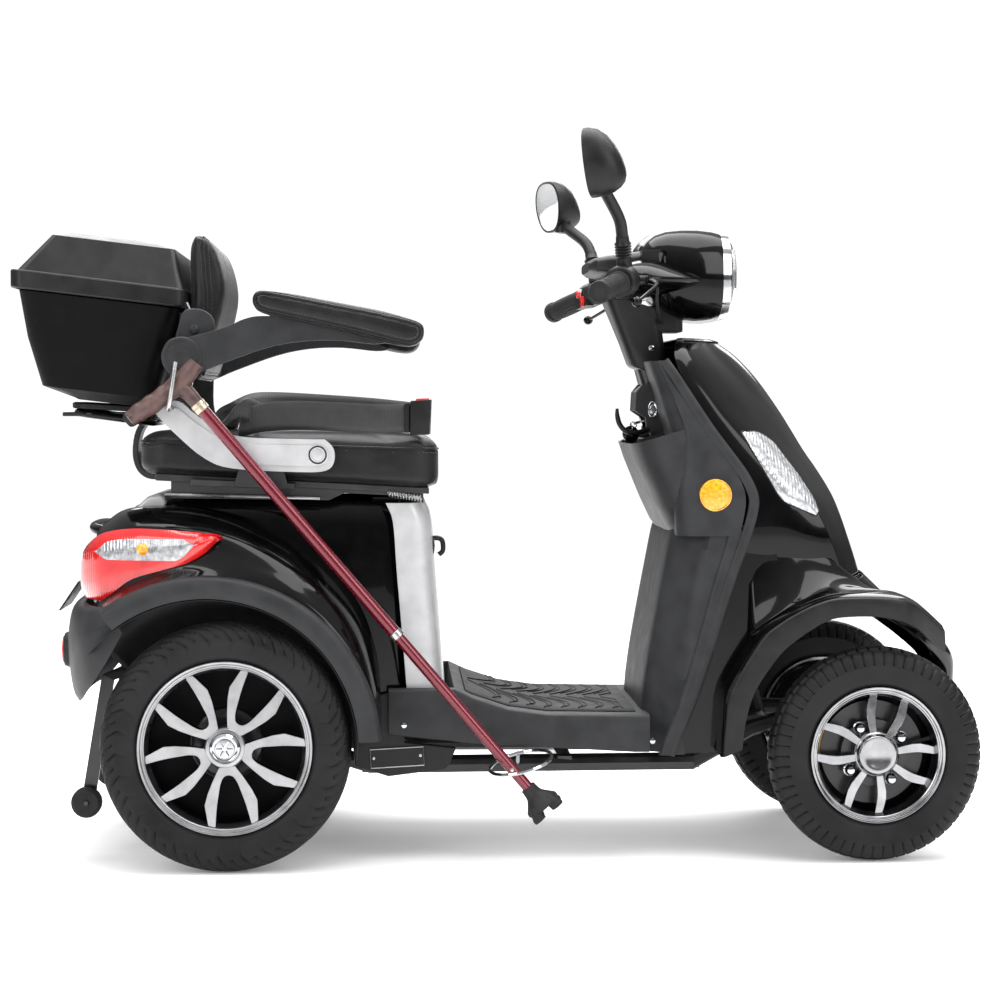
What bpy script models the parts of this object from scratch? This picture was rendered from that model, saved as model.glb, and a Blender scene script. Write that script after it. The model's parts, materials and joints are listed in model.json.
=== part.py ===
"""Four-wheel mobility scooter with seat, armrests, top box and a stowed walking cane.

Lengths are metres, +X points forward, +Y to the rider's left and +Z up.  While the pieces are
made, x is measured forward from the rear axle; the last step moves the whole scooter so that
its origin lies on the ground under the middle of its length.
"""
import math

import bmesh
import bpy
from mathutils import Matrix, Vector

# ---- driving dimensions -------------------------------------------------------------------
WHEELBASE = 1.064
REAR_TRACK = 0.606
FRONT_TRACK = 0.496
REAR_TYRE_RADIUS = 0.203        # 16 x 3.0 tyre
FRONT_TYRE_RADIUS = 0.178       # 14 x 3.0 tyre
TYRE_WIDTH = 0.075
REAR_RIM_RADIUS = 0.141
FRONT_RIM_RADIUS = 0.113
AXLE_STUB_RADIUS = 0.008
KINGPIN_HALF = 0.185            # half the distance between the two king pins
ORIGIN_X = -0.44425              # where the rear axle stands in the finished part

DECK_HALF = 0.225
BASE_HALF = 0.190               # seat base, half width
SEAT_HALF = 0.235
BOX_HALF = 0.205
ARM_INNER = 0.247               # inner face of the armrest arms
BAR_HALF = 0.295                # half width over the grips
CANE_Y = -0.293

COLUMN_LEAN = math.radians(17.0)
COLUMN_POINT = Vector((0.710, 0.0, 0.820))
STEER_AT_REST = math.radians(3.5)      # the bars stand slightly to the left
WHEEL_PER_BAR = 0.6                    # wheel angle for each degree at the bars

ARCH_X = -0.030                 # centre of the rear wheel arch
ARCH_Z = 0.200
FLARE_INNER = 0.245
FLARE_OUTER = 0.279

SEAT_HINGE = Vector((0.312, 0.0, 0.600))
ARM_PIVOT = Vector((-0.071, 0.0, 0.832))
LID_HINGE = Vector((-0.352, 0.0, 0.946))
BOX_LATCH = Vector((-0.0716, 0.0, 0.894))
SLOPE = 0.118                   # fall of the top box towards the front

PANEL = 0.003                   # wall of moulded panels
GAP = 0.0003                    # clearance between neighbouring solids
SMOOTH_ANGLE = math.radians(40.0)

# ---- finishes: colour, roughness, metallic -------------------------------------------------
FINISHES = {
    "gloss_black": ((0.012, 0.012, 0.013), 0.10, 0.0),
    "matt_plastic": ((0.045, 0.047, 0.050), 0.55, 0.0),
    "black_plastic": ((0.018, 0.018, 0.019), 0.45, 0.0),
    "black_vinyl": ((0.017, 0.017, 0.018), 0.50, 0.0),
    "tyre_rubber": ((0.022, 0.022, 0.023), 0.75, 0.0),
    "soft_rubber": ((0.020, 0.020, 0.021), 0.65, 0.0),
    "silver_plastic": ((0.62, 0.63, 0.64), 0.32, 0.1),
    "polished_alloy": ((0.80, 0.81, 0.82), 0.18, 1.0),
    "painted_steel": ((0.020, 0.020, 0.021), 0.40, 0.2),
    "chrome": ((0.82, 0.83, 0.85), 0.06, 1.0),
    "webbing": ((0.016, 0.016, 0.017), 0.80, 0.0),
    "red_lens": ((0.62, 0.015, 0.012), 0.08, 0.0),
    "clear_lens": ((0.80, 0.82, 0.84), 0.06, 0.0),
    "red_plastic": ((0.70, 0.03, 0.02), 0.35, 0.0),
    "burgundy_enamel": ((0.25, 0.010, 0.030), 0.15, 0.3),
    "battery_case": ((0.03, 0.03, 0.035), 0.50, 0.0),
}


# ---- scene and object helpers --------------------------------------------------------------
def clear_scene():
    for obj in list(bpy.data.objects):
        bpy.data.objects.remove(obj, do_unlink=True)


def finish(name):
    """One material for each finish, shared by the sub-parts that have it."""
    material = bpy.data.materials.get(name)
    if material is None:
        colour, roughness, metallic = FINISHES[name]
        material = bpy.data.materials.new(name)
        material.use_nodes = True
        shader = material.node_tree.nodes["Principled BSDF"]
        shader.inputs["Base Color"].default_value = (*colour, 1.0)
        shader.inputs["Roughness"].default_value = roughness
        shader.inputs["Metallic"].default_value = metallic
    return material


def add_object(name, bm, finish_name, origin=(0.0, 0.0, 0.0)):
    """Turn a bmesh into a named object whose origin lies at the given point."""
    origin = Vector(origin)
    bmesh.ops.recalc_face_normals(bm, faces=bm.faces[:])
    mesh = bpy.data.meshes.new(name)
    bm.to_mesh(mesh)
    bm.free()
    mesh.transform(Matrix.Translation(-origin))
    mesh.materials.append(finish(finish_name))
    mesh.shade_smooth()
    mesh.set_sharp_from_angle(angle=SMOOTH_ANGLE)
    obj = bpy.data.objects.new(name, mesh)
    obj.location = origin
    bpy.context.collection.objects.link(obj)
    return obj


def add_pivot(name, point, axis=(0.0, 0.0, 1.0)):
    """An empty on a joint's axis, its own Z along that axis."""
    pivot = bpy.data.objects.new(name, None)
    pivot.empty_display_size = 0.05
    pivot.matrix_world = Matrix.Translation(point) @ axis_frame(axis)
    bpy.context.collection.objects.link(pivot)
    return pivot


def axis_frame(axis):
    """Rotation whose Z column is the axis."""
    return Vector(axis).to_track_quat("Z", "Y").to_matrix().to_4x4()


def hang(pivot, *objects):
    """Parent pieces to a pivot and leave them where they are."""
    bpy.context.view_layer.update()
    for obj in objects:
        obj.parent = pivot
        obj.matrix_parent_inverse = pivot.matrix_world.inverted()


def side_name(base, side):
    return f"{base}_{'left' if side > 0 else 'right'}"


def other_side(points, side):
    """Mirror points given for the left (+Y) side to the wanted side."""
    return [Vector((p[0], p[1] * side, p[2])) for p in points]


# ---- shape helpers ---------------------------------------------------------------------------
def ring_faces(bm, rings, close_path, close_ring=True):
    """Quads between neighbouring rings of vertices."""
    count = len(rings[0])
    last = len(rings) if close_path else len(rings) - 1
    around = count if close_ring else count - 1
    for i in range(last):
        low = rings[i]
        high = rings[(i + 1) % len(rings)]
        for j in range(around):
            k = (j + 1) % count
            bm.faces.new((low[j], low[k], high[k], high[j]))


def loft(sections):
    """Closed solid through a list of equally long closed loops, with flat ends."""
    bm = bmesh.new()
    rings = [[bm.verts.new(p) for p in loop] for loop in sections]
    ring_faces(bm, rings, close_path=False)
    bm.faces.new(rings[0])
    bm.faces.new(rings[-1])
    return bm


def prism(outline, y_low, y_high):
    """Side outline of (x, z) points, extruded across the scooter."""
    return loft([[(x, y, z) for x, z in outline] for y in (y_low, y_high)])


def block(x, y, z):
    """Rectangular solid from three (low, high) pairs."""
    corners = [(x[0], z[0]), (x[1], z[0]), (x[1], z[1]), (x[0], z[1])]
    return prism(corners, y[0], y[1])


def turned(profile, centre, axis, steps):
    """Solid of revolution: profile of (radius, distance along the axis) points.

    A profile that starts and ends on the axis makes a solid; any other makes a ring.
    """
    bm = bmesh.new()
    place = Matrix.Translation(centre) @ axis_frame(axis)
    solid = profile[0][0] == 0.0 and profile[-1][0] == 0.0
    around = profile[1:-1] if solid else profile
    rings = []
    for step in range(steps):
        angle = 2.0 * math.pi * step / steps
        turn = Matrix.Rotation(angle, 4, "Z")
        rings.append([bm.verts.new(place @ turn @ Vector((r, 0.0, d))) for r, d in around])
    ring_faces(bm, rings, close_path=True, close_ring=not solid)
    if solid:
        for end, pick in ((profile[0], 0), (profile[-1], -1)):
            tip = bm.verts.new(place @ Vector((0.0, 0.0, end[1])))
            for step in range(steps):
                bm.faces.new((tip, rings[step][pick], rings[(step + 1) % steps][pick]))
    return bm


def rod(start, end, radius, steps=16):
    """Round bar between two points."""
    start = Vector(start)
    length = (Vector(end) - start).length
    profile = [(0.0, 0.0), (radius, 0.0), (radius, length), (0.0, length)]
    return turned(profile, start, Vector(end) - start, steps)


def smooth_path(points, per_span=4):
    """Points of a Catmull-Rom curve through the given points."""
    points = [Vector(p) for p in points]
    padded = [points[0] * 2 - points[1], *points, points[-1] * 2 - points[-2]]
    path = []
    for a, b, c, d in zip(padded, padded[1:], padded[2:], padded[3:]):
        for step in range(per_span):
            t = step / per_span
            path.append(0.5 * ((b * 2) + (c - a) * t + (a * 2 - b * 5 + c * 4 - d) * t * t
                               + (b * 3 - a - c * 3 + d) * t ** 3))
    path.append(points[-1])
    return path


def sweep(path, section, up=(0.0, 0.0, 1.0)):
    """Solid made by carrying a flat section of (side, up) points along a path."""
    path = [Vector(p) for p in path]
    up = Vector(up)
    loops = []
    for i, point in enumerate(path):
        ahead = (path[min(i + 1, len(path) - 1)] - path[max(i - 1, 0)]).normalized()
        sideways = up.cross(ahead).normalized()
        rise = ahead.cross(sideways)
        loops.append([point + sideways * a + rise * b for a, b in section])
    return loft(loops)


def circle(radius, steps=10):
    turn = 2.0 * math.pi / steps
    return [(radius * math.cos(turn * i), radius * math.sin(turn * i)) for i in range(steps)]


def tube(path, radius, steps=10, up=(0.0, 0.0, 1.0)):
    return sweep(path, circle(radius, steps), up)


def panel(name, rows, finish_name, wall=PANEL, closed=False, keep=None):
    """Moulded sheet: a grid of points given a wall thickness, half on each side."""
    bm = bmesh.new()
    grid = [[bm.verts.new(p) for p in row] for row in rows]
    width = len(grid[0])
    for i in range(len(grid) - 1):
        for j in range(width if closed else width - 1):
            k = (j + 1) % width
            corners = (grid[i][j], grid[i][k], grid[i + 1][k], grid[i + 1][j])
            if keep is None or keep(sum((v.co for v in corners), Vector()) / 4.0):
                bm.faces.new(corners)
    bmesh.ops.delete(bm, geom=[v for v in bm.verts if not v.link_faces], context="VERTS")
    obj = add_object(name, bm, finish_name)
    shell = obj.modifiers.new("wall", "SOLIDIFY")
    shell.thickness = wall
    shell.offset = 0.0
    shell.use_even_offset = True
    return obj


def soften(obj, width, segments=2):
    """Rounded edges."""
    bevel = obj.modifiers.new("edges", "BEVEL")
    bevel.width = width
    bevel.segments = segments
    bevel.limit_method = "ANGLE"
    return obj


def combine(name, finish_name, base, tools, operation="UNION", origin=(0.0, 0.0, 0.0)):
    """Join solids to a base solid, or cut them from it, and keep the result as one object."""
    result = add_object(name, base, finish_name, origin)
    helpers = []
    for tool in tools:
        helper = add_object("tool", tool, finish_name)
        step = result.modifiers.new("step", "BOOLEAN")
        step.operation = operation
        step.solver = "EXACT"
        step.object = helper
        helpers.append(helper)
    return bake(result, helpers)


def bake(obj, helpers=()):
    """Apply the modifiers and drop the helper solids."""
    bpy.context.view_layer.update()
    evaluated = obj.evaluated_get(bpy.context.evaluated_depsgraph_get())
    mesh = bpy.data.meshes.new_from_object(evaluated)
    obj.modifiers.clear()
    obj.data = mesh
    mesh.shade_smooth()
    mesh.set_sharp_from_angle(angle=SMOOTH_ANGLE)
    for helper in helpers:
        bpy.data.objects.remove(helper, do_unlink=True)
    return obj


def cut(obj, tools):
    """Cut solids from an object that already exists."""
    helpers = []
    for tool in tools:
        helper = add_object("tool", tool, "painted_steel")
        step = obj.modifiers.new("cut", "BOOLEAN")
        step.operation = "DIFFERENCE"
        step.solver = "EXACT"
        step.object = helper
        helpers.append(helper)
    return bake(obj, helpers)


def blend(table, value):
    """Piecewise linear reading of a table of (value, results...) rows."""
    if value <= table[0][0]:
        return table[0][1:]
    for low, high in zip(table, table[1:]):
        if value <= high[0]:
            t = (value - low[0]) / (high[0] - low[0])
            return tuple(a + (b - a) * t for a, b in zip(low[1:], high[1:]))
    return table[-1][1:]


def across(half):
    """A row given from the right edge to the middle, completed on the left."""
    return half + [(x, -y, z) for x, y, z in reversed(half[:-1])]


# ---- wheels ------------------------------------------------------------------------------------
def tyre_profile(radius, bead):
    """Half of the tyre's section, mirrored to make the whole loop."""
    half = TYRE_WIDTH / 2.0
    wall = (bead + radius) / 2.0
    side = [(bead, half - 0.010), (bead + 0.010, half - 0.003), (wall, half),
            (radius - 0.016, half - 0.003), (radius - 0.004, half - 0.015), (radius, half - 0.029)]
    return [(r, -d) for r, d in side] + [(r, d) for r, d in reversed(side)]


def rim_profile(radius, hub_radius, bore_radius):
    """Barrel, spoke disc and capped hub; distances grow towards the outside of the scooter."""
    barrel = radius - 0.006
    return [(0.0, 0.036), (hub_radius, 0.034), (hub_radius + 0.004, 0.026),
            (barrel - 0.004, 0.026), (barrel, 0.037), (radius, 0.037), (radius, -0.034),
            (barrel, -0.034), (barrel, 0.012), (hub_radius, 0.012), (hub_radius, -0.018),
            (bore_radius, -0.018), (bore_radius, 0.020), (0.0, 0.020)]


def spoke_window(centre, side, middle, spans):
    """Cutter for one window between spokes: (radius, half angle) pairs from hub to barrel."""
    outline = [(r, middle - half) for r, half in spans]
    outline += [(r, middle + half) for r, half in reversed(spans)]
    loops = []
    for depth in (-0.05, 0.05):
        loops.append([centre + Vector((r * math.cos(a), side * (0.019 + depth), r * math.sin(a)))
                      for r, a in outline])
    return loft(loops)


def wheel(name, side, centre, tyre_radius, rim_radius, windows):
    """Tyre and cast rim; windows is a list of (middle angle, spans)."""
    axis = (0.0, side, 0.0)
    bead = rim_radius + GAP
    tyre = add_object(side_name(f"{name}_tyre", side),
                      turned(tyre_profile(tyre_radius, bead), centre, axis, 28),
                      "tyre_rubber", centre)
    profile = rim_profile(rim_radius, 0.030, AXLE_STUB_RADIUS + 2 * GAP)
    rim = add_object(side_name(f"{name}_rim", side), turned(profile, centre, axis, 28),
                     "polished_alloy", centre)
    cut(rim, [spoke_window(centre, side, middle, spans) for middle, spans in windows])
    return tyre, rim


def rear_windows():
    """Five pairs of spokes: a narrow window inside each pair, a wide one between pairs."""
    rim = REAR_RIM_RADIUS
    windows = []
    for pair in range(5):
        middle = math.radians(60.0 + 72.0 * pair)
        windows.append((middle, [(0.078, 0.02), (rim - 0.016, 0.16)]))
        windows.append((middle + math.radians(36.0),
                        [(0.050, 0.30), (0.085, 0.36), (rim - 0.016, 0.27)]))
    return windows


def front_windows():
    """Eight curved spokes, so eight equal windows."""
    rim = FRONT_RIM_RADIUS
    return [(math.radians(22.5 + 45.0 * i), [(0.042, 0.20), (0.065, 0.28), (rim - 0.014, 0.29)])
            for i in range(8)]


def build_wheels(knuckles):
    for side in (-1, 1):
        centre = Vector((0.0, side * REAR_TRACK / 2.0, REAR_TYRE_RADIUS))
        wheel("rear", side, centre, REAR_TYRE_RADIUS, REAR_RIM_RADIUS, rear_windows())
        centre = Vector((WHEELBASE, side * FRONT_TRACK / 2.0, FRONT_TYRE_RADIUS))
        pieces = wheel("front", side, centre, FRONT_TYRE_RADIUS, FRONT_RIM_RADIUS, front_windows())
        hang(knuckles[side], *pieces)


# ---- chassis ---------------------------------------------------------------------------------
RAIL_PATH = [(-0.150, 0.130, 0.345), (0.020, 0.130, 0.345), (0.165, 0.138, 0.168),
             (0.230, 0.138, 0.148), (0.780, 0.120, 0.148), (0.880, 0.095, 0.200),
             (0.930, 0.090, 0.214), (1.090, 0.090, 0.214)]
RAIL_RADIUS = 0.015


def column_point(height):
    """Point of the steering axis at a height above the ground."""
    rise = height - COLUMN_POINT.z
    return COLUMN_POINT + Vector((-math.tan(COLUMN_LEAN) * rise, 0.0, rise))


COLUMN_AXIS = Vector((-math.sin(COLUMN_LEAN), 0.0, math.cos(COLUMN_LEAN)))


def anti_tip_hub(side):
    return Vector((-0.240, side * 0.158, 0.093))


def build_frame():
    """Rails, cross members, seat posts and hinge pin, steering head and anti-tip struts."""
    tools = [tube(other_side(RAIL_PATH, 1), RAIL_RADIUS, 10)]
    for x, z, half in ((-0.120, 0.345, 0.130), (0.230, 0.148, 0.150), (0.560, 0.148, 0.140),
                       (0.780, 0.148, 0.120), (1.075, 0.214, 0.100)):
        tools.append(block((x - 0.012, x + 0.012), (-half, half), (z - 0.012, z + 0.012)))
    for side in (-1, 1):
        y = side * 0.120
        post = (y - 0.012, y + 0.012)
        tools.append(block((0.236, 0.258), post, (0.140, 0.5945)))
        tools.append(block((0.236, 0.318), post, (0.5895, 0.5975)))
        hanger = (side * 0.130 - 0.004, side * 0.130 + 0.004)
        tools.append(block((-0.020, 0.020), hanger, (0.2262, 0.340)))
        bend = [(-0.128, 0.150, 0.330), (-0.205, 0.158, 0.300), (-0.240, 0.158, 0.088)]
        flat = [(-0.004, -0.011), (0.004, -0.011), (0.004, 0.011), (-0.004, 0.011)]
        tools.append(sweep(other_side(bend, side), flat, up=(1.0, 0.0, 0.0)))
        bolt = anti_tip_hub(side)
        tools.append(rod(bolt, bolt + Vector((0.0, side * 0.030, 0.0)), 0.004, 10))
    tools.append(block((-0.140, -0.118), (-0.155, 0.155), (0.333, 0.357)))
    tools.append(rod((SEAT_HINGE.x, -0.150, SEAT_HINGE.z), (SEAT_HINGE.x, 0.150, SEAT_HINGE.z),
                     0.005, 12))
    tools.append(block((0.856, 0.912), (-0.100, 0.100), (0.192, 0.222)))
    tools.append(rod(column_point(0.205), column_point(0.775), 0.027, 16))
    frame = combine("main_frame", "painted_steel", tube(other_side(RAIL_PATH, -1), RAIL_RADIUS, 10),
                    tools)
    cut(frame, [rod(column_point(0.150), column_point(0.850), 0.0185, 16)])


def build_power_train():
    """Sealed motor and differential across the rear axle, with the parking brake drums."""
    half = REAR_TRACK / 2.0
    right = [(0.0, -half - 0.016), (AXLE_STUB_RADIUS, -half - 0.016), (AXLE_STUB_RADIUS, -0.256),
             (0.062, -0.256), (0.062, -0.226), (0.022, -0.226), (0.022, -0.095), (0.055, -0.085)]
    left = [(r, -d) for r, d in reversed(right)]
    centre = Vector((0.0, 0.0, REAR_TYRE_RADIUS))
    add_object("rear_axle_motor", turned(right + left, centre, (0.0, 1.0, 0.0), 24),
               "painted_steel", centre)
    soften(add_object("battery_pack", block((-0.060, 0.222), (-0.160, 0.160), (0.368, 0.560)),
                      "battery_case"), 0.006)


def build_front_axle():
    """Beam with forked ends and king pins, and the track rod behind it."""
    x = WHEELBASE
    z = FRONT_TYRE_RADIUS
    tools = []
    for side in (-1, 1):
        y = (side * KINGPIN_HALF - 0.014, side * KINGPIN_HALF + 0.014)
        for low in (z - 0.050, z + 0.042):
            inner = tuple(sorted((side * 0.150, y[1] if side > 0 else y[0])))
            tools.append(block((x - 0.014, x + 0.014), inner, (low, low + 0.008)))
        wall = tuple(sorted((side * 0.148, side * 0.158)))
        tools.append(block((x - 0.014, x + 0.014), wall, (z - 0.050, z + 0.050)))
        tools.append(rod((x, side * KINGPIN_HALF, z - 0.048), (x, side * KINGPIN_HALF, z + 0.048),
                         0.006, 12))
    beam = block((x - 0.016, x + 0.016), (-0.152, 0.152), (z - 0.018, z + 0.018))
    combine("front_axle_beam", "painted_steel", beam, tools)
    rod_x = x - 0.090
    add_object("track_rod", rod((rod_x, -0.170, 0.128), (rod_x, 0.170, 0.128), 0.006, 10),
               "painted_steel", (rod_x, 0.0, 0.128))


def build_knuckle(side):
    """Steering knuckle with its spindle, brake caliper bracket and steering arm."""
    x = WHEELBASE
    z = FRONT_TYRE_RADIUS
    y = side * KINGPIN_HALF
    outer = side * (FRONT_TRACK / 2.0 + 0.016)
    tools = [rod((x, y, z), (x, outer, z), AXLE_STUB_RADIUS, 12),
             block((x - 0.100, x), (y - 0.009, y + 0.009), (0.141, 0.150)),
             block((x - 0.062, x - 0.010), tuple(sorted((side * 0.198, side * 0.208))),
                   (z - 0.014, z + 0.042))]
    body = block((x - 0.016, x + 0.016), tuple(sorted((side * 0.168, side * 0.208))),
                 (z - 0.040, z + 0.040))
    knuckle = combine(side_name("steering_knuckle", side), "painted_steel", body, tools,
                      origin=(x, y, z))
    cut(knuckle, [rod((x, y, z - 0.06), (x, y, z + 0.06), 0.0066, 12)])
    pivot = add_pivot(side_name("pivot_knuckle", side), (x, y, z))
    hang(pivot, knuckle)
    return pivot


def build_anti_tip(side):
    """Small wheel on the bolt of the rear strut."""
    hub = anti_tip_hub(side)
    profile = [(0.0046, 0.006), (0.020, 0.006), (0.0255, 0.009), (0.0255, 0.023),
               (0.020, 0.026), (0.0046, 0.026)]
    add_object(side_name("anti_tip_wheel", side), turned(profile, hub, (0.0, side, 0.0), 20),
               "soft_rubber", hub)


# ---- rear bodywork -----------------------------------------------------------------------------
# Seat base by height: rear wall, front wall, half width.
BASE_LEVELS = [(0.245, -0.220, 0.312, 0.190), (0.430, -0.226, 0.304, 0.190),
               (0.500, -0.208, 0.298, 0.188), (0.550, -0.180, 0.293, 0.186),
               (0.586, -0.135, 0.290, 0.183)]


def base_ring(height, corner=0.045, per_corner=5):
    """Rounded rectangle of the seat base, as seen from above, at a height."""
    rear, front, half = blend(BASE_LEVELS, height)
    ring = []
    for cx, cy, start in ((front - corner, half - corner, 0.0), (rear + corner, half - corner, 90.0),
                          (rear + corner, corner - half, 180.0),
                          (front - corner, corner - half, 270.0)):
        for step in range(per_corner):
            angle = math.radians(start + 90.0 * step / (per_corner - 1))
            ring.append((cx + corner * math.cos(angle), cy + corner * math.sin(angle)))
    return ring


def build_rear_body():
    """Seat base shell: open above and below, cut high over the axle."""
    rows = []
    for level in (0.0, 0.35, 0.65, 0.85, 1.0):
        row = []
        for x, _ in base_ring(0.245):
            low = blend([(0.08, 0.430), (0.215, 0.245)], x)[0]
            row.append(low + (0.586 - low) * level)
        points = []
        for i, z in enumerate(row):
            x, y = base_ring(z)[i]
            points.append((x, y, z))
        rows.append(points)
    panel("rear_body_shell", rows, "gloss_black", closed=True)

    rows = []
    for z, shift in ((0.248, 0.026), (0.36, 0.018), (0.48, 0.008), (0.582, 0.0)):
        half = BASE_HALF + 0.010
        rows.append(across([(0.285 + shift, -half, z), (0.310 + shift, -half + 0.004, z),
                            (0.326 + shift, -half + 0.022, z), (0.331 + shift, -half + 0.06, z),
                            (0.333 + shift, 0.0, z)]))
    panel("seat_base_front", rows, "silver_plastic")


def arch_height(x, radius):
    return ARCH_Z + math.sqrt(max(radius ** 2 - (x - ARCH_X) ** 2, 0.0))


def build_rear_wings(side):
    """Gloss shoulder between the seat base and the grey wheel arch flare."""
    inner = 0.2045
    rows = []
    for x in (-0.150, -0.090, -0.030, 0.030, 0.090, 0.140, 0.180, 0.210, 0.232):
        if x < -0.02:
            low = 0.566
            reach = blend([(-0.150, 0.250), (-0.030, 0.300)], x)[0]
        else:
            low = arch_height(x, FLARE_OUTER + 0.009)
            reach = 0.336
        ridge = max(blend([(-0.15, 0.584), (-0.08, 0.580), (0.117, 0.531), (0.19, 0.470)], x)[0],
                    low + 0.006)
        rows.append([(x, side * inner, ridge), (x, side * (inner + 0.018), ridge + 0.001),
                     (x, side * (inner * 0.5 + reach * 0.5), low * 0.35 + ridge * 0.65 + 0.003),
                     (x, side * (reach - 0.012), low + 0.004), (x, side * reach, low - 0.003)])
    panel(side_name("rear_wing", side), rows, "gloss_black")

    rows = []
    for step in range(13):
        angle = math.radians(4.0 + 120.0 * step / 12)
        row = []
        for radius, y in ((FLARE_INNER, 0.343), (0.258, 0.346), (0.272, 0.344),
                          (FLARE_OUTER, 0.334), (FLARE_OUTER, 0.304)):
            row.append((ARCH_X + radius * math.cos(angle), side * y,
                        ARCH_Z + radius * math.sin(angle)))
        rows.append(row)
    panel(side_name("rear_wheel_flare", side), rows, "matt_plastic")


def build_tail(side):
    """Wrap-round tail light cluster."""
    path = [(-0.245, 0.115, 0.505, 0.442), (-0.238, 0.190, 0.522, 0.439),
            (-0.208, 0.248, 0.542, 0.437), (-0.150, 0.280, 0.551, 0.448),
            (-0.080, 0.298, 0.549, 0.482), (-0.026, 0.306, 0.545, 0.525)]
    rows = []
    for x, y, top, low in path:
        middle = (top + low) / 2.0
        rows.append([(x + 0.006, side * (y - 0.006), top), (x, side * y, middle * 0.5 + top * 0.5),
                     (x - 0.002, side * (y + 0.002), middle),
                     (x, side * y, middle * 0.5 + low * 0.5),
                     (x + 0.006, side * (y - 0.006), low)])
    panel(side_name("tail_light", side), rows, "red_lens", wall=0.008)


def build_rear_trim():
    """Bumper and grab bar."""
    stations = [(-0.207, 0.316, 0.424, 0.368), (-0.240, 0.270, 0.425, 0.300),
                (-0.260, 0.190, 0.426, 0.262), (-0.268, 0.090, 0.426, 0.262),
                (-0.270, 0.0, 0.426, 0.262)]
    columns = []
    for x, y, top, low in stations:
        columns.append([(x + 0.010, -y, top), (x, -y, top - 0.02), (x - 0.002, -y, (top + low) / 2),
                        (x + 0.006, -y, low)])
    rows = [list(row) for row in zip(*columns)]
    panel("rear_bumper", [across(row) for row in rows], "matt_plastic")

    loop = [(-0.194, -0.120, 0.546), (-0.222, -0.112, 0.546), (-0.236, -0.080, 0.546),
            (-0.240, 0.0, 0.546), (-0.236, 0.080, 0.546), (-0.222, 0.112, 0.546),
            (-0.194, 0.120, 0.546)]
    add_object("rear_grab_bar", tube(smooth_path(loop, 3), 0.009, 8), "black_plastic")


# ---- deck, leg shield and front bodywork -------------------------------------------------------
def deck_height(x):
    return blend([(0.372, 0.284), (0.400, 0.270), (0.460, 0.250), (0.525, 0.241),
                  (0.664, 0.2385)], x)[0]


def build_deck():
    """Footboard with side skirts, raised round the foot of the seat base."""
    rows = []
    for x in (0.275, 0.3655, 0.372, 0.400, 0.460, 0.525, 0.600, 0.664):
        low = blend([(0.275, 0.207), (0.398, 0.195), (0.664, 0.179)], x)[0]
        outer = deck_height(max(x, 0.372))
        inner = 0.232 if x < 0.37 else outer
        edge = DECK_HALF
        rows.append(across([(x, -edge, low), (x, -edge, outer - 0.010), (x, -edge + 0.006, outer),
                            (x, -0.2085, outer), (x, -0.2045, inner), (x, 0.0, inner)]))
    panel("footboard", rows, "matt_plastic", wall=0.004)


# Leg shield by height: rear wall, front edge, half width.
SHIELD_LEVELS = [(0.172, 0.674, 0.738, 0.222), (0.254, 0.670, 0.770, 0.222),
                 (0.400, 0.690, 0.812, 0.219), (0.528, 0.711, 0.850, 0.215),
                 (0.534, 0.788, 0.852, 0.215), (0.600, 0.790, 0.862, 0.213),
                 (0.700, 0.762, 0.805, 0.200), (0.800, 0.712, 0.748, 0.178),
                 (0.828, 0.700, 0.730, 0.166)]


def build_leg_shield():
    rows = []
    for z, rear, front, half in SHIELD_LEVELS:
        corner = 0.022
        rows.append(across([(front, -half, z), (rear + corner, -half, z),
                            (rear + 0.006, -half + 0.006, z), (rear, -half + corner, z),
                            (rear, -0.056, z), (rear, 0.0, z)]))

    def clear_of_column(middle):
        return middle.z < 0.529 or abs(middle.y) > 0.056

    panel("leg_shield", rows, "matt_plastic", keep=clear_of_column)


def build_storage_bin():
    """Open bin behind the steering column, notched round it."""
    def outline(rear, notch, front, half, z):
        """Seen from above, with chamfered rear corners."""
        right = [(rear, -half + 0.055, z), (rear + 0.012, -half + 0.020, z),
                 (rear + 0.040, -half, z), (front, -half, z), (front, -0.052, z),
                 (notch, -0.044, z)]
        return right + [(x, -y, z) for x, y, _ in reversed(right)]

    outer = loft([outline(0.716, 0.750, 0.783, 0.196, 0.5385),
                  outline(0.664, 0.712, 0.768, 0.198, 0.660),
                  outline(0.652, 0.704, 0.755, 0.193, 0.700)])
    inner = loft([outline(0.719, 0.747, 0.780, 0.193, 0.5415),
                  outline(0.667, 0.709, 0.765, 0.195, 0.660),
                  outline(0.655, 0.701, 0.752, 0.190, 0.7005)])
    combine("storage_bin", "matt_plastic", outer, [inner], "DIFFERENCE")


# Front cowl by height: rear edge, half width at that edge, nose.
COWL_LEVELS = [(0.466, 0.840, 0.200, 1.080), (0.530, 0.8565, 0.2135, 1.058),
               (0.600, 0.8680, 0.2115, 1.032), (0.675, 0.8260, 0.203, 0.984),
               (0.750, 0.7830, 0.188, 0.940), (0.800, 0.7540, 0.178, 0.903),
               (0.845, 0.7440, 0.150, 0.862), (0.864, 0.7700, 0.100, 0.825)]


def cowl_half_width(x, z):
    """Rounded nose seen from above: half width of the cowl at a station and height."""
    edge, half, nose = blend(COWL_LEVELS, z)
    reach = min(max((x - edge) / (nose - edge), 0.0), 1.0)
    return half * (1.0 - reach ** 2.4) ** 0.55


def build_cowl():
    rows = []
    for z, edge, _, nose in COWL_LEVELS:
        row = []
        for reach in (0.0, 0.22, 0.42, 0.60, 0.75, 0.87, 0.95, 0.99):
            x = edge + (nose - edge) * reach
            row.append((x, -cowl_half_width(x, z), z))
        row.append((nose, 0.0, z))
        rows.append(across(row))
    panel("front_cowl", rows, "gloss_black")


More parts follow.
